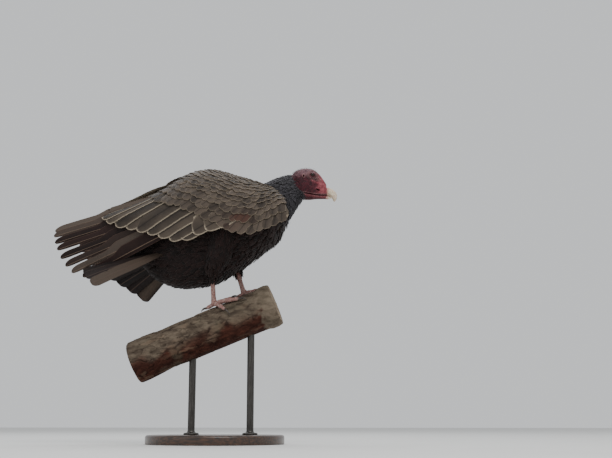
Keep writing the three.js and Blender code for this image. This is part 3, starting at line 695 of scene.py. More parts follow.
def make_perch():
    lengthwise, around = 330, 210
    stations = np.linspace(-PERCH_BEHIND, PERCH_AHEAD, lengthwise)
    distance, angle = np.meshgrid(stations, turns(around), indexing="ij")
    height, crack, flake = bark_relief(distance, angle)
    end_round = np.minimum(PERCH_AHEAD - distance, distance + PERCH_BEHIND)
    height = height - 1.2 * (1 - smooth(end_round / 2.5))
    none = distance * 0
    rear, front = (
        sawn_end(distance[row], angle[row], height[row], sign) for row, sign in ((0, -1), (-1, 1))
    )
    tube = (on_perch(distance, angle, height), none, crack, none, flake)
    parts = (rear, tube, tuple(values[::-1] for values in front))
    points, ring_place, crack, rim, flake = (np.concatenate(values) for values in zip(*parts))
    perch = loft("perch_branch", points)
    named = {"ring_place": ring_place, "crack": crack, "rim": rim, "flake": flake}
    set_attributes(perch, **{name: np.append(values.ravel(), [0, 0]) for name, values in named.items()})
    places = mesh_points(perch)
    relative = places - PERCH_CORE
    along = relative @ ALONG + 7 * noise(places, 11, 17)
    facing = (relative @ OVER_PERCH) / PERCH_RADIUS + 0.28 * noise(relative, 40, 21)
    set_attributes(perch, callus=0.9 * smooth((along - 44) / 14), under=1 - smooth((facing + 0.55) / 0.6))
    finish_piece(perch, bark_material(), ["perch"])
    perch.data.materials.append(sawn_material())
    slots = np.zeros(len(perch.data.polygons), np.int32)
    quads = (len(points) - 1) * around
    row_of = np.arange(quads) // around
    slots[:quads] = (row_of < SAWN_ROWS) | (row_of >= len(points) - 1 - SAWN_ROWS)
    slots[quads:] = 1
    perch.data.polygons.foreach_set("material_index", slots)


# ---------- body shapes, as in the frame ----------
TRUNK = [
    [-206, 146, 106, 12],
    [-190, 160, 80, 24],
    [-165, 180, 52, 34],
    [-130, 208, 34, 44],
    [-98, 230, 27, 56],
    [-60, 250, 29, 68],
    [-25, 256, 37, 74],
    [10, 250, 58, 77],
    [40, 240, 76, 76],
    [70, 226, 97, 68],
    [92, 211, 112, 54],
    [107, 200, 134, 38],
    [118, 190, 151, 24],
    [125, 181, 164, 8],
]
TRUNK_SQUARENESS = 2.15
HEAD_SQUARENESS = 2.2
NECK_PATH = [(50, 0, 160), (72, 0, 179), (92, 1, 197.5), (110, 3, 212.5), (128, 5, 224), (148, 7, 233.5)]
NECK_RADII = [[0, 46, 50], [0.25, 40, 50], [0.5, 33, 45], [0.72, 28, 37], [0.88, 23, 30], [1, 17, 22]]
THIGHS = {
    "right": [(8, -52, 138), (1, -51, 113), (-7, -48, 91), (-18, -43, 71), (-25.3, -38.5, 55)],
    "left": [(18, 52, 152), (14, 51, 128), (9, 48, 107), (3, 43, 88), (0.7, 38.5, 73)],
}
THIGH_RADII = [[0, 30], [0.3, 29], [0.6, 24], [0.85, 16], [1, 8.5]]
TROUSER_RADII = [[0, 30], [0.24, 29], [0.48, 25], [0.68, 18], [0.8, 13], [0.9, 9.5], [1, 7]]
FEET = {
    "right": {"side": -1, "distance": -30.5, "angle": rad(-12), "heading": -21, "ankle": (-26, -38, 53)},
    "left": {"side": 1, "distance": 30.5, "angle": rad(12), "heading": 40, "ankle": (0.5, 38, 71)},
}
FOOT_LIFT = 7.5
BALL_RADIUS = 6.6  # the round of the foot where the toes meet
TOES = {
    "middle": {"heading": 5, "length": 56, "thick": 5.0, "thin": 3.6, "claw": 17, "turned": 1},
    "inner": {"heading": -26, "length": 36, "thick": 4.6, "thin": 3.4, "claw": 15, "turned": 1},
    "outer": {"heading": 42, "length": 42, "thick": 4.6, "thin": 3.3, "claw": 14, "turned": 1},
    "hind": {"heading": 171, "length": 17, "thick": 4.4, "thin": 3.2, "claw": 13, "turned": 0.2},
}
TARSUS_RADII = [[0, 5.6], [0.18, 4.7], [0.6, 4.9], [0.8, 6.4], [1, 5.6]]
BODY_COAT = 7.0  # depth of the feathers over the skin
NECK_COAT = 4.0

HEAD = [
    [-42, 0.5, -6, -14, 7],
    [-38, 8, -7, -25, 13.5],
    [-30.5, 13, -8, -37, 18],
    [-20, 16.4, -8, -45.5, 20.5],
    [-8.5, 16.6, -7, -47, 20],
    [2, 14, -8, -46.5, 17.8],
    [10.5, 8, -12, -46, 15],
    [17, 1, -17, -46, 12.8],
    [22, -6.2, -22, -46, 11.4],
    [26, -12.6, -26, -46, 10.6],
    [29.6, -18.8, -30, -46, 10],
]
HEAD_AHEAD = level(HEAD_TURN)
HEAD_LEFT = level(HEAD_TURN + 90)
# Where the bare skin ends and the neck's feathers begin: height, ahead of the eye.
BARE_EDGE = [[-60, -14], [-48, -16], [-36, -19], [-24, -33], [-5, -41], [8, -45], [20, -47]]


def on_head(ahead, left, up):
    """Points ahead of, left of and above the point midway between the eyes."""
    ahead, left, up = (v[..., None] for v in arrays(ahead, left, up))
    return HEAD_CENTRE + HEAD_AHEAD * ahead + HEAD_LEFT * left + UP * up


def head_places(points):
    relative = points - HEAD_CENTRE
    return relative @ HEAD_AHEAD, relative @ HEAD_LEFT, relative[..., 2]


def trunk_face(x, turn, depth=0.0):
    """The trunk's outline at station x; 'turn' runs round it from the middle of the back to the left."""
    x, turn = arrays(x, turn)
    top, bottom, half = columns_of(TRUNK, x)
    high = np.maximum((top - bottom) / 2 - depth, 1.0)
    y = np.maximum(half - depth, 1.0) * power(np.sin(turn), 2 / TRUNK_SQUARENESS)
    return np.stack([x, y, (top + bottom) / 2 + high * power(np.cos(turn), 2 / TRUNK_SQUARENESS)], -1)


def neck_face(t, turn, depth=0.0):
    """The neck's outline at a share t of its path; 'turn' runs from its top to the left."""
    t, turn = arrays(t, turn)
    centre, side, up = path_frame(NECK_PATH, t, (0, 0, 1))
    wide, tall = columns_of(NECK_RADII, t)
    across = (wide - depth) * np.sin(turn)
    over = (tall - depth) * np.cos(turn)
    return centre + side * across[..., None] + up * over[..., None]


def leg_face(path, radii):
    """The outline round a leg's path; 'turn' runs round it."""

    def face(t, turn, depth=0.0):
        t, turn = arrays(t, turn)
        centre, side, up = path_frame(path, t, (1, 0, 0.4))
        radius = read(radii, t)[..., 0] - depth
        return centre + side * (radius * np.cos(turn))[..., None] + up * (radius * np.sin(turn))[..., None]

    return face


def shank_ends(side):
    """The middle of the foot and the top of the shank."""
    foot = FEET[side]
    return on_perch(foot["distance"], foot["angle"], FOOT_LIFT), np.array(foot["ankle"], float)


def trouser_path(side):
    """The thigh's path, run on a little way down the shank for its feathers."""
    bottom, ankle = shank_ends(side)
    return [*THIGHS[side], *(tuple(ankle + (bottom - ankle) * share) for share in (0.22, 0.5))]


def toe_point(foot, toe, travel, height):
    heading = rad(foot["heading"] * toe["turned"] + foot["side"] * toe["heading"])
    distance = foot["distance"] + travel * math.cos(heading)
    angle = foot["angle"] + travel * math.sin(heading) / (PERCH_RADIUS + height)
    return on_perch(distance, angle, height)


# ---------- skin ----------
def head_loft():
    first, last = HEAD[0][0], HEAD[-1][0]
    ahead = first + (last - first) * np.linspace(0, 1, 70) ** 0.9
    crown, wide, jaw, half = columns_of(HEAD, ahead)
    centre = on_head(ahead, 0, wide)
    rings = ring(centre, HEAD_LEFT, UP, half, crown - wide, wide - jaw, 90, HEAD_SQUARENESS)
    return loft("head_part", rings)


def neck_loft():
    t = np.linspace(0, 1, 40)[:, None]
    turn = turns(90)[None, :]
    return loft("neck_part", neck_face(t, turn, NECK_COAT * (1 - 0.5 * t)))


def remesh(piece, size, passes):
    apply_modifier(piece, "REMESH", mode="VOXEL", voxel_size=size * MM, use_smooth_shade=True)
    apply_modifier(piece, "SMOOTH", factor=0.5, iterations=passes)
    return piece


def leg_part(side):
    """Shank and toes as one lump, closed and smooth."""
    foot = FEET[side]
    bottom, top = shank_ends(side)
    path = [bottom + (top - bottom) * t for t in (0, 0.33, 0.66, 1, 1.25)]
    parts = [loft("shank", tube_rings(path, TARSUS_RADII, 40, 24))]
    for toe in TOES.values():
        path = []
        for t in (-0.05, 0.25, 0.5, 0.75, 1):
            clear = mix(toe["thick"], toe["thin"], max(t, 0)) + 0.8
            path.append(toe_point(foot, toe, t * toe["length"], clear + (1 - smooth(t * 3)) * 1.5))
        joints = np.linspace(0, 1, 25)
        knuckle = 1 + 0.09 * np.cos(joints * 2 * math.pi * (3 if toe["length"] > 30 else 1.5))
        thick, thin = toe["thick"], toe["thin"]
        taper = read([[0, thick], [0.55, thick * 0.86], [0.9, thin], [1, thin * 0.7]], joints)
        radii = np.stack([joints, taper[:, 0] * knuckle], 1)
        parts.append(loft("toe", tube_rings(path, radii, 40, 20, (0, 0.02, 1))))
    angle = np.linspace(0.05, math.pi - 0.05, 12)
    radius = BALL_RADIUS * np.sin(angle)
    middle = bottom + UP * BALL_RADIUS * np.cos(angle)[:, None]
    parts.append(loft("ball", ring(middle, ALONG, ACROSS, radius, radius, radius, 20)))
    return remesh(join(f"leg_{side}", parts), 0.85, 2)


def union(name, parts):
    """One closed mesh out of several closed ones."""
    whole = parts[0]
    for part in parts[1:]:
        apply_modifier(whole, "BOOLEAN", operation="UNION", solver="MANIFOLD", object=part)
        bpy.data.objects.remove(part)
    whole.name = name
    return whole


def refine(piece, chosen):
    """Splits the faces whose middles 'chosen' picks out into four."""
    mesh = bmesh.new()
    mesh.from_mesh(piece.data)
    middles = np.array([f.calc_center_median() for f in mesh.faces]) / MM - PERCH_POINT
    picked = chosen(middles)
    edges = {e for f, yes in zip(mesh.faces, picked) if yes for e in f.edges}
    bmesh.ops.subdivide_edges(mesh, edges=list(edges), cuts=1, use_grid_fill=True, smooth=0.0)
    bmesh.ops.triangulate(mesh, faces=[f for f in mesh.faces if len(f.verts) > 4])
    mesh.to_mesh(piece.data)
    mesh.free()


def bare_share(points):
    """1 on the head's bare skin, 0 on the feathered neck."""
    ahead, _, up = head_places(points)
    edge = read(BARE_EDGE, np.clip(up, -60, 20))[..., 0]
    near = (ahead > -60) & (up > -62)
    return smooth((ahead - edge + 1.5) / 3.0) * near


# Places on the face, ahead of the eye and above it.
EAR = (-17.6, -2.6)
NOSTRIL = (11.2, -29.6)
NOSTRIL_TILT = rad(-26)
GAPE = (-18.2, -37.4)
# Each row of warts: its first and last place and its height.
WART_ROWS = ((8.6, 15.5, -4.6), (6.2, 16.4, -7.6), (8.0, 14.8, -10.6))
LID_RING = 2.3  # from fold to fold of the rings round the eye
EYE_BACK = 11.5  # how far from the head's middle the skin ends inside the lids


def mouth_line(ahead):
    t = np.clip((ahead + 17) / 46.6, 0, 1)
    return -36.3 - 3.6 * t - 1.2 * np.sin(math.pi * t)


def eye_distance(a, u):
    return np.hypot(a / 1.15, u)


def ear_distance(a, u):
    return np.hypot((a - EAR[0]) / 0.8, (u - EAR[1]) / 1.25)


def needs_detail(points):
    """Whether places are near enough to eye, ear, nostril or mouth to need fine faces."""
    a, left, u = head_places(points)
    near = (eye_distance(a, u) < 9) | (ear_distance(a, u) < 5)
    near |= np.hypot((a - NOSTRIL[0]) / 2.2, u - NOSTRIL[1]) < 4
    near |= (np.abs(u - mouth_line(a)) < 2.2) & (a > -21)
    return near & (bare_share(points) > 0.5) & (np.abs(left) > 5)


def ripple(place, length):
    return np.sin(2 * math.pi * place / length)


def wrinkles(a, left, u, wander, fine, bare, flank):
    """How far the folds of the bare skin push it out, and how much painted shade each place gets deep in a
    fold.
    """
    cheek = smooth((4 - a) / 8) * smooth((-3 - u) / 5) * smooth((u + 49) / 6) * flank
    nape = smooth((-20 - a) / 8) * smooth((u + 26) / 14) * bare
    crown = smooth((u - 4) / 5) * bare * (1 - nape)
    throat = smooth((-38 - u) / 5) * smooth((6 - a) / 10) * bare
    down_cheek = ripple(a + 0.3 * u + 2.9 * wander + 0.5 * fine, 2.9)
    round_nape = ripple(a * 0.8 - 0.75 * u + 2.2 * wander, 3.8)
    push = cheek * (0.34 * down_cheek - 0.1) + nape * (0.42 * round_nape - 0.1)
    push += crown * (0.16 * ripple(a + 1.6 * wander, 2.9) + 0.12 * fine)
    push += throat * 0.45 * ripple(np.abs(left) + 1.8 * wander, 3.6)
    push += bare * (0.08 * fine - 1.5 * smooth((a - 26.6) / 3.0) ** 2)
    # painted shade in the troughs of the cheek and nape wrinkles
    shade = cheek * smooth((-down_cheek - 0.1) / 0.9) + nape * smooth(-round_nape / 0.9) * 0.8
    return push, shade


def face_bones(a, u):
    """The push of the brow, the hollow under the eye and the ridge from cheek to cere; and the ridge."""
    line = -11.5 - 0.42 * (a + 2)
    ridge = bell(u - line, 2.3) * smooth((a + 6) / 8) * smooth((31 - a) / 8)
    below = bell(u - line + 6.5, 3.2) * smooth((a + 2) / 8) * smooth((24 - a) / 8)
    brow = bell(a - 2, 6.5) * bell(u - 8.4, 2.4)
    hollow = bell(a + 2, 8) * bell(u + 10.2, 2.6)
    return 1.1 * brow - 1.2 * hollow + 0.95 * ridge - 0.7 * below, ridge


def wart_bumps(a, u, flank):
    """Warts before and below the eye, and the gaps round them."""
    warts, gaps = np.zeros(len(a)), np.zeros(len(a))
    random = np.random.default_rng(8)
    for row, (first, last, height) in enumerate(WART_ROWS):
        for ahead in np.arange(first, last, 3.1):
            up = height - 0.25 * (ahead - 8) + random.uniform(-0.4, 0.4)
            near = np.hypot(a - ahead - 0.3 * row, u - up) / random.uniform(1.05, 1.4)
            warts = np.maximum(warts, np.exp(-(near**3)) * random.uniform(0.6, 1.0))
            gaps = np.maximum(gaps, bell(near - 1.35, 0.3))
    warts = warts * flank
    return warts, gaps * flank * (1 - warts)


def nostril_distance(a, u):
    """1 on the rim of the slanted slot; the real bird's two slots meet inside."""
    ahead, up = a - NOSTRIL[0], u - NOSTRIL[1]
    along = ahead * math.cos(NOSTRIL_TILT) + up * math.sin(NOSTRIL_TILT)
    over = up * math.cos(NOSTRIL_TILT) - ahead * math.sin(NOSTRIL_TILT)
    return np.hypot(along / 4.3, (over - 0.12 * along) / 1.55)


def close_lids(points):
    """Lays lids over the eyeball and, inside their opening, draws the skin back behind it."""
    a, left, u = head_places(points)
    side = np.abs(left)
    radius = np.hypot(a, u)
    opening = np.hypot(a / 4.3, (u + 0.12 * a) / np.where(u > 0, 2.9, 3.1))
    over_ball = EYE_SPREAD + np.sqrt(np.maximum((EYE_RADIUS + 0.75) ** 2 - radius**2, 0))
    lid = np.where((radius < 7.1) & (side > 8), np.maximum(side, over_ball), side)
    inside = np.where((side > 8) & (radius < 7), 1 - smooth((opening - 0.86) / 0.16), 0)
    moved = mix(lid, EYE_BACK, inside) - side
    return points + HEAD_LEFT * (np.sign(left) * moved)[:, None], opening, inside


def sculpt_head(piece):
    """Moves the bare skin into lids, ear, nostril, mouth, warts and wrinkles, and records their colours and
    the shade painted into their hollows.
    """
    points, normals = mesh_points(piece), mesh_normals(piece)
    bare = bare_share(points)
    a, left, u = head_places(points)
    flank = smooth((np.abs(left) - 5) / 4) * bare
    wander, fine = noise(points, 15, 31), noise(points, 4.2, 32)
    push, shade = wrinkles(a, left, u, wander, fine, bare, flank)
    bones, ridge = face_bones(a, u)
    warts, gaps = wart_bumps(a, u, flank)
    push += flank * bones + warts * 0.95 - gaps * 0.25
    eye = eye_distance(a, u)
    rings = bell(eye - 8.0, 2.6) * flank
    ring_height = np.cos(2 * math.pi * (eye - 7.6) / LID_RING)
    push += rings * (0.35 + 0.38 * ring_height)
    ear = ear_distance(a, u)
    ear_hole, ear_rim = 1 - smooth((ear - 1.35) / 0.7), bell(ear - 2.9, 0.8)
    nostril = nostril_distance(a, u)
    nostril_hole, nostril_rim = 1 - smooth((nostril - 0.72) / 0.32), bell(nostril - 1.35, 0.3)
    push += flank * (0.75 * ear_rim - 4.2 * ear_hole + 0.4 * nostril_rim - 4.6 * nostril_hole)
    mouth = np.abs(u - mouth_line(a))
    along = smooth((a + 19) / 2.5)
    slit = bell(mouth, 0.75) * along * flank
    lips = bell(mouth - 1.9, 1.0) * along * flank
    gape = bell(a - GAPE[0], 2.6) * bell(u - GAPE[1], 2.6) * flank
    push += 0.55 * lips - 2.1 * slit + 0.8 * gape * (1 - slit)
    points, opening, inside = close_lids(points + normals * push[:, None])
    set_points(piece, points)
    a, left, u = head_places(points)
    lid_edge = bell(opening - 1.12, 0.12) * flank
    # painted shade: the folds between the rings round the eye, then the holes, the mouth slit, the gaps
    # round the warts, the wrinkle troughs and the skin behind the lids
    shade = shade + rings * smooth(-ring_height) * 0.7
    groove = ear_hole + nostril_hole + 0.9 * slit + 0.6 * gaps + 0.55 * shade + inside
    groove = np.clip(groove, 0, 1) * bare
    pale = np.clip(0.75 * warts + 0.5 * ear_rim * flank + 0.55 * gape + 0.3 * lips + 0.35 * rings, 0, 1)
    pale = np.clip(pale - groove - lid_edge, 0, 1)
    crown = smooth((u + 2.5 - 0.14 * a + 3.0 * wander) / 6.5)
    cere = smooth((a - 5 + 2 * wander) / 12) * smooth((u - mouth_line(a) - 1) / 4)
    lip = bell(u - mouth_line(a) + 3.0, 1.8) * along
    cere = np.clip(cere + 0.75 * lip + 0.7 * ridge, 0, 1)
    # a dark line along the lid edges, laid in with the painted shade
    groove = groove + 0.5 * lid_edge * bare
    set_attributes(piece, crown=crown * (1 - cere), cere=cere, groove=groove, pale=pale)


def leg_places(points):
    """How much each point belongs to a bare leg, and its place along and round shank and toes."""
    share = np.zeros(len(points))
    gap = np.zeros(len(points))
    lift = np.zeros(len(points))
    for side in SIDES:
        bottom, top = shank_ends(side)
        shaft = unit(top - bottom)
        reach = np.linalg.norm(top - bottom)
        from_bottom = points - bottom
        up_leg = from_bottom @ shaft
        away = np.linalg.norm(from_bottom - up_leg[:, None] * shaft, axis=1)
        on_shank = (away < 9.5) * smooth((up_leg + 4) / 3) * (up_leg < reach + 8)
        front = unit(np.cross(np.array([0, 1.0, 0]), shaft))
        side_way = np.cross(shaft, front)
        turn = np.arctan2(from_bottom @ side_way, from_bottom @ front)
        net_a = np.sin(2 * math.pi * up_leg / 3.1 + 2 * turn)
        net_b = np.sin(2 * math.pi * up_leg / 3.1 - 2 * turn + 1.1)
        net = np.maximum(np.abs(net_a), np.abs(net_b))
        scutes = np.abs(np.sin(math.pi * up_leg / 4.6))
        facing = smooth((np.cos(turn) - 0.1) / 0.3)
        shank_gap = mix(1 - smooth((net - 0.35) / 0.4), 1 - smooth(scutes / 0.32), facing)
        best = np.full(len(points), 1e9)
        toe_gap = np.zeros(len(points))
        for toe in TOES.values():
            steps = np.linspace(0, toe["length"], 14)
            line = np.array([toe_point(FEET[side], toe, s, toe["thick"] * 0.85) for s in steps])
            distance = np.linalg.norm(points[:, None, :] - line[None], axis=2)
            k = distance.argmin(1)
            ahead = unit(line[np.minimum(k + 1, len(line) - 1)] - line[np.maximum(k - 1, 0)])
            travel = steps[k] + ((points - line[k]) * ahead).sum(1)
            near = distance.min(1)
            above = smooth(((points - line[k]) @ OVER_PERCH - 0.3) / 1.2)
            ridge = 1 - smooth(np.abs(np.sin(math.pi * travel / 3.3)) / 0.34)
            closer = near < best
            toe_gap = np.where(closer, ridge * above, toe_gap)
            best = np.minimum(best, near)
        on_toes = (best < 9) & (on_shank < 0.5)
        share = np.maximum(share, np.maximum(on_shank, on_toes))
        gap = np.where(on_toes, toe_gap, np.where(on_shank > 0.5, shank_gap, gap))
        lift = np.where(on_toes | (on_shank > 0.5), 0.12 - 0.36 * gap, lift)
    return share, gap, lift


def wing_core(side):
    """The folded wing's flesh, under its feathers."""
    x = np.linspace(128, -120, 40)[:, None]
    down = np.linspace(0.06, 0.9, 26)[None, :] * np.minimum(read(COVERT_LINE, x)[..., 0], 1.0)
    outer = wing_point(x, down, -5.0, SIDES[side])
    depth = 3.2 * smooth((x + 125) / 60) + 1.0
    inner = wing_point(x, down, -5.0 - depth, SIDES[side])
    rings = np.concatenate([outer, inner[:, ::-1]], 1)
    return remesh(loft(f"wing_core_{side}", rings), 1.6, 2)


def make_skin():
    turn = turns(84)[None, :]
    rear, front = TRUNK[0][0] + 6, TRUNK[-1][0] - 6
    stations = mix(rear, front, 0.5 - 0.5 * np.cos(np.linspace(0, math.pi, 70)))
    trunk = loft("trunk_part", trunk_face(stations[:, None], turn, BODY_COAT))
    head = remesh(join("head_part", [head_loft(), neck_loft()]), 1.1, 6)
    refine(head, lambda p: bare_share(p) > 0.02)
    refine(head, needs_detail)
    parts = [trunk, head]
    for side in SIDES:
        t = np.linspace(0, 0.97, 34)[:, None]
        depth = np.minimum(BODY_COAT - 1, 1 + 12 * (1 - t))
        parts.append(loft("thigh_part", leg_face(THIGHS[side], THIGH_RADII)(t, turn, depth)))
        parts.append(leg_part(side))
        parts.append(wing_core(side))
    skin = union("skin", parts)
    share, gap, lift = leg_places(mesh_points(skin))
    set_points(skin, mesh_points(skin) + mesh_normals(skin) * (lift * share)[:, None])
    sculpt_head(skin)
    points = mesh_points(skin)
    bare = bare_share(points)
    leg = share * smooth((86 - points[:, 2]) / 4)
    station = points[:, 0] - np.where(points[:, 1] > 0, LEFT_WING[0], 0)
    low_edge = read(WING, np.clip(station, -262, 136))[..., 2]
    set_attributes(
        skin,
        leg=leg,
        scale_gap=gap,
        whitewash=leg * smooth((noise(points, 9, 41) - 0.35) / 0.5) * 0.55,
        down=np.clip(1 - bare - leg, 0, 1),
        slate=smooth((points[:, 0] - 88) / 20) * smooth((points[:, 2] - 140) / 16),
        wing=smooth((points[:, 2] - low_edge) / 10),
    )
    legs = [f"{part}_{side}" for part in ("thigh", "tarsus", "foot") for side in SIDES]
    finish_piece(skin, skin_material(), ["trunk", "neck", "head", *legs])
    return skin


# ---------- folded wings, as in the frame ----------
WING = [
    [141, 165, 74, 153, 80],
    [138, 174, 72, 145, 82],
    [134, 183, 66, 140, 86],
    [126, 195, 56, 135, 90],
    [105, 213, 40, 127, 94],
    [85, 224, 30, 122, 96],
    [65, 234, 22, 119, 97],
    [40, 244, 16, 120, 97],
    [20, 251, 13, 128, 96],
    [2, 258, 11, 137, 95],
    [-20, 265, 10, 133, 94],
    [-44, 268, 10, 125, 92],
    [-82, 262, 10, 114, 89],
    [-105, 249, 9, 117, 86],
    [-131, 235, 9, 124, 82],
    [-162, 220, 9, 136, 76],
    [-200, 205, 9, 146, 69],
    [-230, 195, 9, 154, 63],
    [-258, 182, 10, 162, 56],
    [-268, 178, 10, 165, 54],
]
WING_WRAP = 96  # degrees the face turns through from the back to the lower edge
LEFT_WING = (-44, -6, 5)  # the left wing is held this much further back, closer in and higher
COVERT_LINE = [
    [141, 1],
    [40, 1],
    [14, 1],
    [-25, 0.886],
    [-45, 0.815],
    [-92, 0.665],
    [-139, 0.5],
    [-160, 0.3],
    [-175, 0.08],
]


def wing_face(x, down, sign):
    """The wing's outer face; 'down' runs from 0 at the back's middle to 1 at the lower edge."""
    x, down = arrays(x, down)
    top, top_out, low, out = columns_of(WING, x)
    turn = rad(WING_WRAP) * down
    fall = (top - low) / (1 - math.cos(rad(WING_WRAP)))
    bulge = 1.06 * power(np.sin(turn), 0.8)
    y = top_out + (out - top_out) * np.minimum(bulge, 1.03)
    back, closer, higher = LEFT_WING if sign > 0 else (0, 0, 0)
    return np.stack([x + back, sign * y + closer, higher + top - fall * (1 - np.cos(turn))], -1)


def surface_frame(face, u, v, du, dv, sign=1):
    """A face's point, its two slopes and its outward normal at any places."""
    point = face(u, v)
    slope_u = (face(u + du, v) - face(u - du, v)) / (2 * du)
    slope_v = (face(u, v + dv) - face(u, v - dv)) / (2 * dv)
    normal = unit(np.cross(slope_u, slope_v)) * sign
    return point, slope_u, slope_v, normal


def wing_point(x, down, lift, sign):
    def face(x, down):
        return wing_face(x, down, sign)

    *_, normal = surface_frame(face, np.clip(x, -266, 137), np.clip(down, 0.03, 0.97), 1.5, 0.01, sign)
    lift = np.broadcast_to(np.asarray(lift, float), normal.shape[:-1])
    return face(x, down) + normal * lift[..., None]


# ---------- feathers ----------
def solve_on_face(slope_u, slope_v, direction):
    """The steps in u and v that move along a direction lying in the face."""
    aa, ab, bb = ((p * q).sum(-1) for p, q in ((slope_u, slope_u), (slope_u, slope_v), (slope_v, slope_v)))
    da, db = (slope_u * direction).sum(-1), (slope_v * direction).sum(-1)
    det = np.maximum(aa * bb - ab * ab, 1e-9)
    return (da * bb - db * ab) / det, (db * aa - da * ab) / det


class Lie:
    """A face to lay feathers on: its shape, steps for its slopes, the way out and how feathers lie."""

    def __init__(self, face, du, dv, out, lie):
        self.face, self.du, self.dv, self.out, self.lie = face, du, dv, out, lie

    def frame(self, u, v):
        point, slope_u, slope_v, normal = surface_frame(self.face, u, v, self.du, self.dv, self.out)
        along = self.lie(point, slope_u, slope_v)
        along = unit(along - normal * (along * normal).sum(-1, keepdims=True))
        return point, slope_u, slope_v, normal, along

    def step(self, u, v, distance, yaw=0.0):
        """Moves places by a distance, in millimetres, the way the feathers lie."""
        _, slope_u, slope_v, normal, along = self.frame(u, v)
        yaw = np.broadcast_to(np.asarray(yaw, float), u.shape)[..., None]
        along = along * np.cos(yaw) + np.cross(normal, along) * np.sin(yaw)
        a, b = solve_on_face(slope_u, slope_v, along)
        return u + a * distance, v + b * distance


def vane_faces(rows, columns):
    """Faces of one feather: a fine upper side, a plain lower side with a middle line, closed ends."""
    top = grid_faces(rows, columns)
    spine = rows * columns + np.arange(rows)
    left = np.arange(rows) * columns
    right = left + columns - 1
    lower_a = np.stack([left[:-1], left[1:], spine[1:], spine[:-1]], -1)
    lower_b = np.stack([spine[:-1], spine[1:], right[1:], right[:-1]], -1)
    j = np.arange(columns - 1)
    last = (rows - 1) * columns
    root = np.stack([j + 1, j, np.full(columns - 1, spine[0])], -1)
    tip = np.stack([last + j, last + j + 1, np.full(columns - 1, spine[-1])], -1)
    return top[:, ::-1], np.concatenate([lower_a, lower_b])[:, ::-1], np.concatenate([root, tip])[:, ::-1]


def vane_outline(t, blunt):
    """Half-width of a feather along it, as a share of its widest."""
    grow = mix(0.16, 1.0, smooth(t / 0.42))
    end = np.clip((t - blunt) / (1 - blunt), 0, 1)
    return grow * np.sqrt(np.maximum(1 - end**2.3, 0.0)) * 0.995 + 0.005


class Plumage:
    """Gathers feathers, batch by batch, and makes one piece of them."""

    def __init__(self, patch):
        self.patch = patch  # size of each feather's place on the bake map
        self.points, self.quads, self.tris, self.under = [], [], [], []
        self.values = {"vane": [], "rim": [], "barb": [], "other": []}
        self.map_top, self.map_low = [], []
        self.count = 0

    def add(self, top, spine, shares, across, seed, rim, barb, other, place):
        """Adds feathers: 'top' is the grid of each one's upper side, 'spine' its lower middle line."""
        feathers, rows, columns = top.shape[:3]
        middle = columns // 2

        def with_middle(values):
            """Values on the grid, then again down its middle for the lower line."""
            return np.concatenate([values.reshape(feathers, -1), values[..., middle]], 1)

        def spread(values):
            return with_middle(np.broadcast_to(values, top.shape[:3]))

        size = rows * (columns + 1)
        starts = self.count + np.arange(feathers)[:, None, None] * size
        upper, lower, ends = (f[None] + starts for f in vane_faces(rows, columns))
        self.quads.append(np.concatenate([upper, lower], 1).reshape(-1, 4))
        self.under.append(np.tile(np.repeat([0, 1], [upper.shape[1], lower.shape[1]]), feathers))
        self.tris.append(ends.reshape(-1, 3))
        self.points.append(np.concatenate([top.reshape(feathers, -1, 3), spine], 1).reshape(-1, 3))
        side, along = spread(across), spread(shares[:, None])
        vane = np.stack([side, along, spread(seed[:, None, None])], -1)
        self.values["vane"].append(vane.reshape(-1, 3))
        for key, value in (("rim", rim), ("barb", barb), ("other", other[:, None, None])):
            self.values[key].append(spread(value).ravel())
        for store, shift in ((self.map_top, 0.0), (self.map_low, 0.5)):
            uv = np.stack([(side + 1) / 4 + shift, along], -1) * self.patch + place[:, None, :]
            store.append(uv.reshape(-1, 2))
        self.count += feathers * size

    def make(self, name, material, replaced=()):
        quads, tris = np.concatenate(self.quads), np.concatenate(self.tris)
        piece = new_object(name, np.concatenate(self.points), [quads, tris])
        set_attributes(piece, **{key: np.concatenate(stored) for key, stored in self.values.items()})
        low = np.append(np.repeat(np.concatenate(self.under), 4), np.zeros(tris.size, int)).astype(bool)
        corner = np.append(quads, tris)
        upper, lower = np.concatenate(self.map_top), np.concatenate(self.map_low)
        set_bake_map(piece, np.where(low[:, None], lower[corner], upper[corner]))
        return finish_piece(piece, material, replaced)


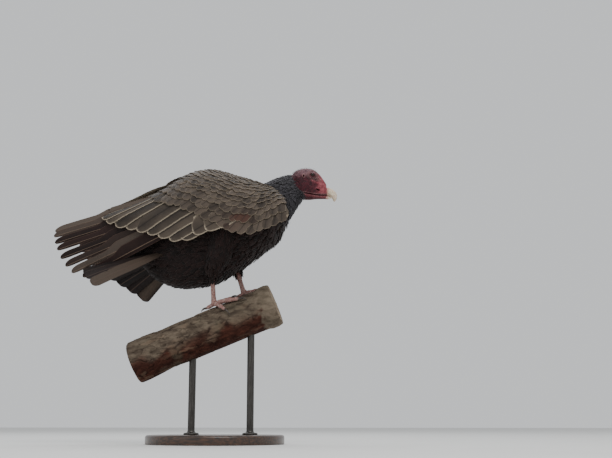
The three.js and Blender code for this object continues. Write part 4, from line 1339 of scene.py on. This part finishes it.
def lay_feathers(store, lie, u, v, length, width, place, *, rows=8, columns=5, blunt=0.62, root=-5.0,
                 tip=0.0, camber=0.5, roll=0.0, fray=0.12, yaw=0.07, thick=0.35, curl=0.0, seed=1,
                 rim_width=1.8, barb=1.3, other=None, halves=None):
    """Lays feathers whose tips are at the places (u, v). Sizes are millimetres, with a length and a width
    for each feather. 'halves' gives the share of the width on the low side and on the high side."""
    random = np.random.default_rng(seed)
    count = len(u)
    shares = 1 - (1 - np.linspace(0, 1, rows)) ** 1.35
    across = power(np.linspace(-1, 1, columns), 0.85)
    turn = random.normal(0, yaw, count)
    us, vs = [u], [v]
    for k in range(rows - 1, 0, -1):
        gap = (shares[k] - shares[k - 1]) * length
        back_u, back_v = lie.step(us[0], vs[0], -gap, turn)
        us.insert(0, back_u)
        vs.insert(0, back_v)
    us, vs = np.stack(us, 1), np.stack(vs, 1)
    point, slope_u, slope_v, normal, along = lie.frame(us, vs)
    over = np.cross(normal, along)
    wa, wb = solve_on_face(slope_u, slope_v, over)
    outline = vane_outline(shares, blunt)[None, :] * width[:, None] / 2
    teeth = 1 - fray * random.uniform(0, 1, (count, rows, 2)) * (np.arange(rows)[None, :, None] % 2)
    sides = np.where(across[None, None, :] < 0, teeth[..., :1], teeth[..., 1:])
    low, high = (1.0, 1.0) if halves is None else halves
    reach = across * np.where(across > 0, low, high)
    offset = outline[..., None] * reach * mix(1.0, sides, np.abs(across) ** 2)
    top_u = us[..., None] + wa[..., None] * offset
    top_v = vs[..., None] + wb[..., None] * offset
    lift = mix(root, tip, shares**1.15)[None, :] + random.normal(0, 0.22, count)[:, None]
    lift = lift + curl * smooth((shares - 0.7) / 0.3)[None, :] * random.uniform(-0.4, 1, count)[:, None]
    bend = lift[..., None] - camber * across**2 + roll * across + 0.12 * (np.abs(across) < 0.12)
    top = lie.face(top_u, top_v) + normal[:, :, None, :] * bend[..., None]
    spine = point + normal * (lift - thick)[..., None]
    run = (shares * length[:, None])[..., None]
    edge = np.minimum((1 - np.abs(across)) * outline[..., None], length[:, None, None] - run + 0.2)
    rim = np.exp(-np.maximum(edge, 0) / rim_width)
    barbs = 2 * math.pi * (run - 0.9 * np.abs(offset)) / barb
    other = np.zeros(count) if other is None else other
    store.add(top, spine, shares, across, random.uniform(0, 1, count), rim, barbs, other, place)


PATCH = 0.003  # size of a small feather's place on the bake map
LOOSE = {"columns": 5, "blunt": 0.3, "fray": 0.55, "yaw": 0.2}  # the shaggy feathers of the body


def staggered(u_values, around, jitter, seed):
    """Places in rings: each u gets around(u) places, half a step on from the ring before."""
    random = np.random.default_rng(seed)
    us, vs = [], []
    for k, u in enumerate(u_values):
        n = int(around(u))
        turn = (np.arange(n) + 0.5 * (k % 2)) / n * 2 * math.pi - math.pi
        us.append(np.full(n, u) + random.normal(0, jitter, n) * abs(u_values[1] - u_values[0]))
        vs.append(turn + random.normal(0, jitter, n) * 2 * math.pi / n)
    return np.concatenate(us), np.concatenate(vs)


def map_place(u, v, low, high):
    """Where each root sits on an unwrap of its face, from 0 to 1 clear of the edge; 'v' is a turn."""
    place = np.stack([(u - low) / (high - low), (v + math.pi) / (2 * math.pi)], -1)
    return np.clip(place, 0, 1) * 0.99 + PATCH


def inside_trunk(points, grow=0.0):
    x, y, z = np.moveaxis(points, -1, 0)
    top, bottom, half = columns_of(TRUNK, x)
    wide = np.abs(y / (half + grow)) ** TRUNK_SQUARENESS
    tall = np.abs((z - (top + bottom) / 2) / ((top - bottom) / 2 + grow)) ** TRUNK_SQUARENESS
    return (wide + tall < 1) & (x > TRUNK[0][0]) & (x < TRUNK[-1][0])


def under_wing(points):
    """Whether trunk places lie well behind the folded wings' faces."""
    x, y, z = np.moveaxis(points, -1, 0)
    station = x - np.where(y > 0, LEFT_WING[0], 0)
    low_edge = read(WING, np.clip(station, -262, 136))[..., 2]
    return (z > low_edge + 14) & (np.abs(y) > 26) & (station < 118) & (station > -165)


def onward(point, slope_u, slope_v):
    """Feathers that point down the path."""
    return slope_u


def trunk_lie(point, slope_u, slope_v):
    return backward(rad(10) + rad(48) * smooth((point[..., 0] - 30) / 75))


def varied(seed, count, spread=0.18):
    """Size factors round 1, one for each feather."""
    return np.random.default_rng(seed).uniform(1 - spread, 1 + spread, count)


def make_trunk_feathers(material):
    lie = Lie(trunk_face, 1.0, 0.01, 1, trunk_lie)

    def around(x):
        top, bottom, half = read(TRUNK, x)
        return max(10, round(math.pi * ((top - bottom) / 2 + half) / 9.6))

    u, v = staggered(np.arange(116, -206, -7.0), around, 0.3, 21)
    keep = ~under_wing(trunk_face(u, v))
    u, v = u[keep], v[keep]
    random = np.random.default_rng(24)
    size = (1 + 0.25 * smooth((-60 - u) / 100)) * random.uniform(0.82, 1.18, len(u))
    length = np.minimum(42 * size, (TRUNK[-1][0] - u) * 1.1 + 4)
    width = 14.5 * size * random.uniform(0.85, 1.15, len(u))
    place = map_place(u, v, TRUNK[0][0], TRUNK[-1][0])
    for number, (side, sign) in enumerate(SIDES.items()):
        own = (v > 0) == (sign > 0)
        store = Plumage(PATCH)
        lay_feathers(store, lie, u[own], v[own], length[own], width[own], place[own], **LOOSE, rows=11,
                     root=-BODY_COAT + 0.8, tip=0.1, curl=1.1, seed=5 + number)
        store.make(f"trunk_feathers_{side}", material)


def make_thigh_feathers(material):
    for number, side in enumerate(SIDES):
        path = trouser_path(side)
        reach = run_along(np.array(path, float))[-1]
        face = leg_face(path, TROUSER_RADII)

        def around(t):
            return max(9, round(2 * math.pi * read(TROUSER_RADII, t)[0] / 6.5))

        u, v = staggered(np.arange(0.2, 0.99, 5.5 / reach), around, 0.3, 22)
        keep = ~inside_trunk(face(u, v), -8)
        u, v = np.minimum(u[keep], 0.985), v[keep]
        size = mix(1.0, 0.42, smooth((u - 0.45) / 0.5)) * varied(28, len(u))
        store = Plumage(PATCH)
        lay_feathers(store, Lie(face, 0.01, 0.01, -1, onward), u, v, 34 * size, 12 * size,
                     map_place(u, v, 0.2, 1.0), **LOOSE, rows=11, root=-2.6, tip=0.2, curl=0.9,
                     seed=31 + number)
        store.make(f"thigh_feathers_{side}", material)


def make_neck_feathers(material):
    def back(point, slope_u, slope_v):
        return -slope_u

    def around(t):
        wide, tall = read(NECK_RADII, t)
        return round(math.pi * (wide + tall) / 4.9)

    u, v = staggered(np.arange(0.985, 0.0, -0.035), around, 0.28, 23)
    points = neck_face(u, v)
    keep = ~inside_trunk(points, -5) & (bare_share(neck_face(u, v, NECK_COAT)) < 0.4)
    u, v = u[keep], v[keep]
    size = mix(1.9, 0.8, smooth(u)) * varied(26, len(u), 0.15)
    store = Plumage(PATCH)
    lay_feathers(store, Lie(neck_face, 0.006, 0.01, 1, back), u, v, 15 * size, 6.2 * size,
                 map_place(u, v, 0, 1), rows=9, columns=5, blunt=0.3, root=-NECK_COAT + 0.6, tip=0.2,
                 camber=0.4, curl=0.5, fray=0.5, yaw=0.17, seed=6)
    store.make("neck_feathers", material)


def head_face(ahead, turn):
    """The head's outline at a station; 'turn' runs round it from the crown to the left."""
    ahead, turn = arrays(ahead, turn)
    crown, wide, jaw, half = columns_of(HEAD, ahead)
    c, s = (power(f(turn), 2 / HEAD_SQUARENESS) for f in (np.cos, np.sin))
    return on_head(ahead, half * s, wide + np.where(c > 0, crown - wide, wide - jaw) * c)


def make_collar(material):
    """The smallest feathers, where the neck meets the bare face behind the jaw."""
    def back_and_down(point, slope_u, slope_v):
        return -slope_u - 0.25 * UP

    u, v = staggered(np.arange(-13.0, -41.0, -2.3), lambda ahead: 52, 0.3, 25)
    share = bare_share(head_face(u, v))
    keep = (share < 0.62) & (np.abs(v) > 0.9)
    u, v = np.clip(u[keep], -41.5, -12), v[keep]
    size = mix(0.75, 1.15, smooth((-16 - u) / 20)) * varied(27, len(u), 0.15)
    store = Plumage(PATCH)
    lay_feathers(store, Lie(head_face, 0.6, 0.01, 1, back_and_down), u, v, 8.5 * size, 3.9 * size,
                 map_place(u, v, -42, -12), rows=8, columns=5, blunt=0.3, root=-1.6, tip=0.9, camber=0.25,
                 curl=0.4, fray=0.5, yaw=0.2, thick=0.25, seed=8)
    store.make("collar_feathers", material)


BRISTLE_RINGS = 5


def make_bristles(skin):
    """Short black bristles, few and fine, on the crown, the nape and the lores."""
    points, normals = mesh_points(skin), mesh_normals(skin)
    near = np.flatnonzero(bare_share(points) > 0.95)
    ahead, left, up = head_places(points[near])
    crown = (up > 6) & (ahead < 14)
    nape = (ahead < -24) & (up > -24)
    lores = (ahead > 9) & (ahead < 20) & (up > -13) & (np.abs(left) > 5)
    random = np.random.default_rng(52)
    chance = np.where(crown, 0.011, 0) + np.where(nape, 0.013, 0) + np.where(lores, 0.004, 0)
    chosen = near[random.uniform(0, 1, len(near)) < chance]
    root, out = points[chosen], normals[chosen]
    back = unit(-HEAD_AHEAD - 0.35 * UP + random.normal(0, 0.25, root.shape))
    back = unit(back - out * (back * out).sum(-1, keepdims=True))
    length = random.uniform(2.6, 5.2, len(root))[:, None, None]
    t = np.linspace(0, 1, BRISTLE_RINGS)[None, :, None]
    rise, run = 0.75 * t - 0.35 * t**2, 0.3 * t + 0.6 * t**2
    middle = root[:, None] + (out[:, None] * rise + back[:, None] * run) * length
    middle = middle - out[:, None] * 0.4 * (1 - t)
    side = np.cross(out, back)
    angle = turns(4)[:, None]
    spoke = side[:, None, None] * np.cos(angle) + out[:, None, None] * np.sin(angle)
    rings = middle[:, :, None] + spoke * (0.17 * (1 - 0.85 * t))[..., None]
    tip = middle[:, -1:] + (middle[:, -1:] - middle[:, -2:-1]) * 0.3
    points = np.concatenate([rings.reshape(len(root), -1, 3), tip], 1)
    each = points.shape[1]
    starts = (np.arange(len(root)) * each)[:, None, None]
    j = np.arange(4)
    last_ring, tip_point = each - 5, each - 1
    tip_faces = np.stack([last_ring + j, last_ring + (j + 1) % 4, np.full(4, tip_point)], -1)
    quads = (grid_faces(BRISTLE_RINGS, 4, wrap=True) + starts).reshape(-1, 4)
    tris = (np.concatenate([tip_faces, [[0, 3, 2], [0, 2, 1]]]) + starts).reshape(-1, 3)
    piece = new_object("head_bristles", points.reshape(-1, 3), [quads, tris])
    ahead, left, up = head_places(root)
    place = map_place(ahead, np.arctan2(left, up + 16), -48, 24) - PATCH
    along = np.append(np.repeat(np.linspace(0, 0.9, BRISTLE_RINGS), 4), 1.0)
    across = np.append(np.tile([0.0, 0.5, 1.0, 0.5], BRISTLE_RINGS), 0.5)
    uv = place[:, None] + np.stack([across, along], -1)[None] * PATCH
    set_bake_map(piece, uv.reshape(-1, 2)[np.append(quads, tris)])
    black = Shader("bristle", 0.55, specular=0.3)
    fleck = black.noise(300.0, 2.0)
    black.set("Base Color", black.mix(fleck, colour(10, 8, 8), colour(34, 26, 25)))
    finish_piece(piece, black.material)


# ---------- wing feathers ----------
FEATHER_FALL = 27  # degrees below the level that the long wing feathers point
COVERT_STEPS = [24, 19, 16, 14.5, 13.5, 12.5, 12, 11.5, 11, 10.5, 10, 10, 9.5, 9.5, 9, 9]  # row to row


def backward(fall):
    """The direction to the rear that falls by an angle."""
    return np.stack([-np.cos(fall), 0 * fall, -np.sin(fall)], -1)


def covert_lie(point, slope_u, slope_v):
    return backward(rad(FEATHER_FALL) + rad(58) * smooth((point[..., 0] + 5) / 135))


def secondary_lie(point, slope_u, slope_v):
    return backward(rad(FEATHER_FALL) - rad(7) * smooth((point[..., 2] - 190) / 50))


def wing_lie(sign, lie):
    return Lie(lambda x, down: wing_face(x, down, sign), 1.0, 0.008, sign, lie)


def spaced_along(face, u, v, gap, offset):
    """Places a gap apart along the line through the places given."""
    run = run_along(face(u, v))
    stops = np.arange(gap * offset, run[-1], gap)
    return np.interp(stops, run, u), np.interp(stops, run, v)


def atlas_places(count, columns, patch):
    """Places on the bake map for broad feathers, each of which has a patch of its own."""
    row, column = np.divmod(np.arange(count), columns)
    return np.stack([column, row], -1) * patch * 1.04 + 0.002


def covert_rows(lie):
    """Rows of coverts from the lowest, longest row up to the wing's bend and the back."""
    x = np.linspace(-174, 138.5, 90)
    down = read(COVERT_LINE, x)[..., 0] + 0.012
    rows = []
    for k, step in enumerate(COVERT_STEPS):
        gap = max(9.5, 17.5 - 1.5 * k)
        u, v = spaced_along(lie.face, x, down, gap, 0.25 + 0.5 * (k % 2))
        rows.append((u, v, step, gap))
        x, down = lie.step(x, down, -np.full(x.shape, float(step)))
        keep = (x < 139.5) & (down > 0.015) & (down < 1.03)
        x, down = x[keep], down[keep]
        if len(x) < 4:
            break
    return rows


def make_wing_coverts(side):
    sign = SIDES[side]
    lie = wing_lie(sign, covert_lie)
    rows = covert_rows(lie)
    total = sum(len(row[0]) for row in rows)
    columns = math.ceil(math.sqrt(total))
    patch = 0.96 / columns
    places = atlas_places(total, columns, patch)
    store = Plumage(patch)
    used = 0
    for k, (u, v, step, gap) in enumerate(rows):
        random = np.random.default_rng(50 + k)
        u = u + random.normal(0, 1.5, len(u))
        v = v + random.normal(0, 0.006, len(v))
        point = lie.face(u, v)
        if sign > 0:
            clear = (point[:, 0] < 80) | (point[:, 2] > 170)
            u, v, point = u[clear], v[clear], point[clear]
        rusty = bell(point[:, 0] - 38, 22) * bell(point[:, 2] - 137, 13)
        front = smooth((u - 60) / 70)
        length = (step * 2.6 + 8) * mix(1.0, 0.72, front) * random.uniform(0.86, 1.12, len(u))
        width = np.full(len(u), gap * 1.6) * mix(1.0, 0.85, front) * random.uniform(0.86, 1.14, len(u))
        place = places[used : used + len(u)]
        used += len(u)
        lay_feathers(store, lie, u, v, length, width, place, rows=12, columns=9, blunt=0.72 if k else 0.78,
                     root=-4.4, tip=0.6, camber=0.7, roll=-0.75 * sign, fray=0.2, yaw=0.085, curl=0.5,
                     seed=60 + k, rim_width=2.5, barb=1.5, other=rusty)
    store.make(f"wing_covert_feathers_{side}", COVERT_FEATHER, [f"wing_coverts_{side}"])


def mantle_face(x, share):
    """The back between the wings, from the right wing's upper edge to the left one's."""
    x, share = np.broadcast_arrays(np.asarray(x, float), np.asarray(share, float))
    right = wing_face(x, 0.075, -1)
    left = wing_face(x - LEFT_WING[0], 0.075, 1)
    face = mix(right, left, share[..., None])
    sunk = 3.5 + 5 * np.clip(4 * share * (1 - share), 0, 1)
    return face - UP * sunk[..., None]


def make_mantle():
    """Feathers of the back, which close the space between the folded wings."""

    def lie(point, slope_u, slope_v):
        return np.tile([-1.0, 0.0, -0.3], (*point.shape[:-1], 1))

    random = np.random.default_rng(44)
    stations = np.arange(74, -222, -8.5)
    rows = [np.linspace(-0.08, 1.08, 7 + k % 2) for k in range(len(stations))]
    u = np.concatenate([np.full(len(row), station) for row, station in zip(rows, stations)])
    v = np.concatenate(rows) + random.normal(0, 0.025, len(u))
    u = u + random.normal(0, 2.0, len(u))
    long = 1 + 0.5 * smooth((40 - u) / 200)
    columns = math.ceil(math.sqrt(len(u)))
    patch = 0.96 / columns
    store = Plumage(patch)
    lay_feathers(store, Lie(mantle_face, 1.0, 0.01, 1, lie), u, v, 34 * long, 15 * long,
                 atlas_places(len(u), columns, patch), rows=10, columns=7, blunt=0.66, root=-6.0, tip=0.4,
                 camber=0.6, fray=0.25, yaw=0.1, curl=0.5, seed=45, rim_width=2.2, barb=1.5)
    store.make("mantle_feathers", COVERT_FEATHER)


def secondary_tips():
    """Tips of the long feathers: along the lower edge from the front, then up the wing's rear end."""
    low = [(14 - 276 * (k + 0.5) / 11, 1.0 + 0.006 * math.sin(2.1 * k)) for k in range(10)]
    rear = [(-247, 0.9), (-258, 0.74), (-262, 0.56), (-257, 0.38), (-247, 0.2)]
    return np.array(low + rear)


def make_secondaries(side):
    sign = SIDES[side]
    tips = secondary_tips()
    patch = 0.235
    store = Plumage(patch)
    order = np.arange(len(tips))
    length = np.interp(order, [0, 3, 9, 14], [118, 175, 205, 185])
    width = np.interp(order, [0, 4, 10, 14], [40, 46, 46, 40])
    halves = (1.25, 0.75) if sign > 0 else (0.75, 1.25)
    places = atlas_places(len(tips), 4, patch)
    lay_feathers(store, wing_lie(sign, secondary_lie), *tips.T, length, width, places, rows=44, columns=19,
                 blunt=0.86, root=-4.6, tip=-0.2, camber=0.3, roll=-1.15 * sign, fray=0.05, yaw=0.012,
                 thick=0.5, seed=77, rim_width=5.5, barb=1.9, halves=halves)
    nodes = [f"wing_secondaries_{side}"]
    store.make(f"wing_secondary_feathers_{side}", SECONDARY_FEATHER, nodes)


# ---------- flight feathers of hand and tail ----------
PRIMARY_COUNT = 8
PRIMARIES = [
    [0, -100, 58, 208, -366, 33, 162],
    [0.12, -100, 61, 198, -372, 37, 148],
    [0.27, -100, 64, 186, -369, 41, 132],
    [0.41, -100, 66, 175, -362, 44, 114],
    [0.55, -100, 67, 165, -353, 46, 97],
    [0.68, -100, 67, 156, -341, 47, 80],
    [0.8, -100, 66, 148, -328, 47, 65],
    [0.92, -100, 65, 140, -308, 46, 53],
    [1, -100, 64, 134, -286, 45, 50],
]
PRIMARY_PAINTED_LIGHT = (1.0, 0.6, 0, 0, 0, 0.15, 0.75, 0)  # painted light: how much each primary is lightened to a lit grey-brown, from the uppermost
FAR_HAND = {"ahead": 12, "spread": 0.8}  # the left hand's fan
TAIL_COUNT = 12
TAIL_BROWNS = (0, 0, 0, 0, 0, 0.6)  # how pale brown each tail feather is, from the middle out
TAIL_BASE = np.array([-112.0, 0, 114])
TAIL_BASE_HALF = 22
TAIL_LENGTH = 192
TAIL_HALF_FAN = 42
TAIL_DIP = 38
TAIL_ARCH = 50
TAIL_ROUNDING = 0.15


def primary_ends(place, sign):
    """Base and tip of the hand's fan at a place across it, from its inner (upper) edge to its outer one."""
    row = read(PRIMARIES, place)
    base = np.stack([row[..., 0], sign * row[..., 1], row[..., 2]], -1)
    ahead, spread = (FAR_HAND["ahead"], FAR_HAND["spread"]) if sign > 0 else (0, 1)
    z = mix(PRIMARIES[0][6], row[..., 5], spread)
    return base, np.stack([row[..., 3] + ahead, sign * row[..., 4], z], -1)


def tail_ends(place):
    out = 2 * np.asarray(place, float) - 1
    turn = rad(TAIL_HALF_FAN) * out
    length = TAIL_LENGTH * (1 - TAIL_ROUNDING * out**2)
    fall = TAIL_DIP + TAIL_ARCH * np.abs(out) ** 1.7
    base = TAIL_BASE + np.stack([0 * out, out * TAIL_BASE_HALF, -8 * out**2], -1)
    return base, base + np.stack([-np.cos(turn) * length, np.sin(turn) * length, -fall], -1)


def lay_fan(store, ends, places, over, halves, places_on_map, *, stack, profile, rim_width, other, seed,
            rows=64, bow=3, fray=0.02, thick=0.7):
    """Long feathers side by side. 'ends' gives base and tip at a place; 'over' the fan's upper side;
    'halves' the half-widths towards the next place and the one before; 'stack' lifts each over the next."""
    random = np.random.default_rng(seed)
    count = len(places)
    shares = 1 - (1 - np.linspace(0, 1, rows)) ** 1.25
    half_across = np.array([0.075, 0.2, 0.4, 0.6, 0.78, 0.9, 0.97, 1])
    across = np.concatenate([-half_across[::-1], [0], half_across])
    base, tip = ends(places)
    base_next, tip_next = ends(np.clip(places + 0.01, 0, 1))
    base_last, tip_last = ends(np.clip(places - 0.01, 0, 1))
    ahead = unit(tip - base)
    length = np.linalg.norm(tip - base, axis=1)
    t = shares[None, :, None]
    centre = base[:, None, :] + (tip - base)[:, None, :] * t
    side = mix((base_next - base_last)[:, None, :], (tip_next - tip_last)[:, None, :], t)
    side = unit(side - ahead[:, None, :] * (side * ahead[:, None, :]).sum(-1, keepdims=True))
    normal = np.cross(ahead[:, None, :], side)
    turned = (normal * np.asarray(over, float)).sum(-1).mean() < 0
    normal = -normal if turned else normal
    width = np.where(across > 0, halves[0], halves[1]) * profile(shares)[:, None]
    cut = np.ones((count, rows, 2))
    for feather in cut:
        where, which = random.uniform(0.3, 0.93), random.integers(0, 2)
        feather[:, which] *= 1 - random.uniform(0.08, 0.25) * bell(shares - where, 0.007)
    cut *= 1 - fray * random.uniform(0, 1, (count, rows, 2))
    edge = np.where(across < 0, cut[..., :1], cut[..., 1:])
    offset = across * width * mix(1.0, edge, np.abs(across) ** 3)
    drift = random.normal(0, 1.2, count)[:, None, None] * t
    lift = bow * 4 * t * (1 - t)
    on_shaft, by_shaft = np.abs(across) < 0.05, np.abs(np.abs(across) - 0.075) < 0.01
    shaft = (0.75 * on_shaft + 0.3 * by_shaft) * (1 - 0.7 * t)
    height = lift + shaft - 0.035 * np.abs(offset) + stack * across
    top = centre[:, :, None, :] + side[:, :, None, :] * (offset + drift)[..., None]
    top = top + normal[:, :, None, :] * height[..., None]
    spine = centre + side * drift + normal * (lift - thick * (1 - 0.5 * t))
    run = (shares * length[:, None])[..., None]
    gap = np.minimum((1 - np.abs(across)) * np.abs(width), length[:, None, None] - run + 0.2)
    rim = np.exp(-gap / rim_width)
    barbs = math.pi * (run - 0.8 * np.abs(offset))
    if turned:
        top, rim, barbs, across = top[:, :, ::-1], rim[..., ::-1], barbs[..., ::-1], across[::-1]
    tint = random.uniform(0, 1, count)
    store.add(top, spine, shares, across, tint, rim, barbs, np.array(other), places_on_map)


def primary_profile(shares):
    """Half-width shares of a primary: broad, then cut in to a narrow finger, for both vanes."""
    wide = smooth(shares / 0.12) * (1 - 0.5 * smooth((shares - 0.5) / 0.16))
    end = np.clip((shares - 0.9) / 0.1, 0, 1)
    return 0.06 + 0.94 * wide * np.sqrt(np.maximum(1 - end**2.4, 0))


def tail_profile(shares):
    wide = 0.35 + 0.65 * smooth(shares / 0.6)
    end = np.clip((shares - 0.93) / 0.07, 0, 1)
    return wide * np.sqrt(np.maximum(1 - 0.96 * end**2.2, 0))


def make_primaries(side):
    sign = SIDES[side]
    places = (np.arange(PRIMARY_COUNT) + 0.66) / PRIMARY_COUNT
    patch = 0.32
    store = Plumage(patch)
    # the uppermost primaries get painted light, a lit grey-brown, through 'other'
    lay_fan(store, lambda place: primary_ends(place, sign), places, (0, sign, 0.25), (6.5, 20),
            atlas_places(PRIMARY_COUNT, 3, patch), stack=-1.5, profile=primary_profile, rim_width=1.6,
            other=PRIMARY_PAINTED_LIGHT, seed=90)
    store.make(f"wing_primary_feathers_{side}", PRIMARY_FEATHER, [f"wing_primaries_{side}"])


def make_tail():
    """The tail's right half, then its left half; in each the feathers lie in steps out from the middle."""
    patch = 0.24
    store = Plumage(patch)
    half = TAIL_COUNT // 2
    places = 0.5 + (np.arange(half) + 0.5) / TAIL_COUNT
    spots = atlas_places(TAIL_COUNT, 4, patch).reshape(2, half, 2)
    for k, ends in enumerate((lambda place: tail_ends(1 - place), tail_ends)):
        lay_fan(store, ends, places, (0, 0, 1), (15, 19), spots[k], stack=-0.9, profile=tail_profile,
                rim_width=1.2, other=TAIL_BROWNS, seed=95 + k)
    store.make("tail_vanes", TAIL_FEATHER, ["tail_feathers"])


# ---------- eyes, bill and claws ----------
UPPER_BILL = [
    [0, 30, -31.7, 9, 9.2],
    [0.25, 35.7, -33.6, 8.4, 8],
    [0.5, 41.1, -38, 7.6, 6],
    [0.75, 43.8, -44.5, 5.2, 4],
    [1, 43.6, -51.4, 1, 0.9],
]
LOWER_BILL = [[29.9, -43.5, 2.5, 7.7], [33, -43.5, 2.3, 6.3], [35.7, -43.4, 1.7, 4], [37.6, -43.1, 1, 1.7]]


def make_eyes():
    material = eye_material()
    for side, sign in SIDES.items():
        angle = np.linspace(0.004, math.pi - 0.004, 64)
        out = sign * HEAD_LEFT
        iris = smooth((0.66 - angle) / 0.12)
        radius = EYE_RADIUS - 0.05 + 0.32 * np.sqrt(np.maximum(1 - (angle / 0.72) ** 2, 0))
        centre = on_head(0, sign * EYE_SPREAD, 0) + out * (radius * np.cos(angle))[:, None]
        around = (radius * np.sin(angle))[:, None]
        rings = ring(centre, HEAD_AHEAD, np.cross(HEAD_AHEAD, out), around, around, around, 64)
        eye = loft(f"eyeball_{side}", rings)
        for name, value in (("pupil", 1 - smooth((angle - 0.25) / 0.03)), ("white", 1 - iris)):
            set_attributes(eye, **{name: np.append(np.repeat(value, 64), value[[0, -1]])})
        finish_piece(eye, material, [f"eye_{side}"])


def make_upper_bill(material):
    around = 64
    t = np.linspace(-0.12, 1, 70)
    inside = np.clip(t, 0, 1)
    ahead, up, tall, wide = columns_of(UPPER_BILL, inside)
    ahead = ahead + np.minimum(t, 0) * 24
    slope = read(UPPER_BILL, np.clip(inside + 0.02, 0, 1)) - read(UPPER_BILL, np.clip(inside - 0.02, 0, 1))
    flat = smooth((t + 0.02) / 0.12)[:, None]
    direction = unit(HEAD_AHEAD * mix(1.0, slope[:, :1], flat) + UP * slope[:, 1:2] * flat)
    over = np.cross(direction, HEAD_LEFT)
    shrink = mix(0.93, 1.0, smooth((t + 0.1) / 0.1))
    tall, wide = tall * shrink, wide * shrink
    rings = ring(on_head(ahead, 0, up), HEAD_LEFT, over, wide, tall, tall, around, 2.15)
    # the hollow underside, the cutting edge's curve, the culmen's ridge and growth lines
    t, tall = t[:, None], tall[:, None]
    angle = turns(around)
    height = np.sin(angle)
    push = smooth((-height - 0.45) / 0.35) * smooth((t - 0.05) / 0.2) * tall * 0.14
    push = push - 0.7 * bell(t - 0.36, 0.09) * smooth((0.6 - np.abs(height + 0.55)) / 0.3)
    push = push + bell(angle - math.pi / 2, 0.35) * np.minimum(tall, 5) * 0.07
    push = push + 0.05 * np.sin(t * 190) * height
    upper = loft("bill_upper_horn", rings + over[:, None, :] * push[..., None])
    root = np.repeat(1 - smooth(t / 0.16), around)
    edge = bell(height + 0.5, 0.16) * smooth((t - 0.02) / 0.1)
    set_attributes(upper, root=np.append(root, [1, 0]), edge=np.append(edge, [0, 0]))
    finish_piece(upper, material, ["bill_upper"])


def make_lower_bill(material):
    around = 48
    station = np.linspace(26.5, LOWER_BILL[-1][0], 40)
    up, tall, wide = columns_of(LOWER_BILL, station)
    shrink = mix(0.9, 1.0, smooth((station - 27) / 3))
    tall, wide = tall * shrink, wide * shrink
    rings = ring(on_head(station, 0, up), HEAD_LEFT, UP, wide, tall, tall, around, 2.2)
    lower = loft("bill_lower_horn", rings)
    root = np.append(np.repeat(1 - smooth((station - 29.5) / 3.5), around), [1, 0])
    set_attributes(lower, root=root, edge=np.zeros(len(root)))
    finish_piece(lower, material, ["bill_lower"])


def make_claws():
    material = claw_material()
    for side in SIDES:
        foot = FEET[side]
        for name, toe in TOES.items():
            length, claw_length, thin = toe["length"], toe["claw"], toe["thin"]
            steps = [(-2.2, thin + 0.6), (0.4, thin + 0.8), (claw_length * 0.45, thin + 1.7)]
            steps += [(claw_length * 0.82, thin), (claw_length, 1.2)]
            path = [toe_point(foot, toe, length + travel, height) for travel, height in steps]
            radii = [[0, thin * 0.62], [0.12, thin * 0.72], [0.5, thin * 0.56], [1, 0.35]]
            rings = tube_rings(path, radii, 44, 28, (0, 0.02, 1))
            claw = loft(f"claw_horn_{name}_{side}", rings)
            root = np.repeat(1 - smooth((np.linspace(0, 1, 44) - 0.12) / 0.2), 28)
            set_attributes(claw, root=np.append(root, [1, 0]))
            finish_piece(claw, material, [f"claw_{name}_{side}"])


# ---------- the whole model ----------
BODY_FEATHER = feather_material(
    "body_feathers", (11, 5, 4), (36, 20, 17), (54, 35, 30), (15, 9, 8),
    edge_share=0.3, rough=0.72,
)
NECK_FEATHER = feather_material(
    "neck_feathers", (24, 23, 26), (62, 60, 65), (88, 85, 88), (34, 32, 35),
    edge_share=0.45,
)
COVERT_FEATHER = feather_material(
    "covert_feathers", (42, 35, 30), (88, 77, 67), (146, 132, 114), (34, 28, 24),
    edge_share=0.85, other=(80, 48, 38),
)
SECONDARY_FEATHER = feather_material(
    "secondary_feathers", (35, 29, 25), (82, 72, 62), (172, 158, 138), (28, 22, 19),
    edge_share=1.0,
)
# the primaries' 'other' colour is painted light: the lit grey-brown of the uppermost feathers
PRIMARY_FEATHER = feather_material(
    "primary_feathers", (16, 9, 8), (42, 27, 24), (86, 66, 56), (132, 110, 94),
    edge_share=0.6, rough=0.65, sheen=0.0, other=(92, 82, 73),
)
TAIL_FEATHER = feather_material(
    "tail_feathers_vanes", (10, 6, 6), (30, 20, 18), (52, 39, 35), (78, 62, 54),
    edge_share=0.4, rough=0.75, sheen=0.0, other=(96, 82, 70),
)

make_camera()
make_stage()
make_stand()
make_perch()
skin = make_skin()
make_bristles(skin)
make_eyes()
HORN = horn_material()
make_upper_bill(HORN)
make_lower_bill(HORN)
make_claws()
make_trunk_feathers(BODY_FEATHER)
make_thigh_feathers(BODY_FEATHER)
make_neck_feathers(NECK_FEATHER)
make_collar(NECK_FEATHER)
make_mantle()
for side in SIDES:
    make_wing_coverts(side)
    make_secondaries(side)
    make_primaries(side)
make_tail()
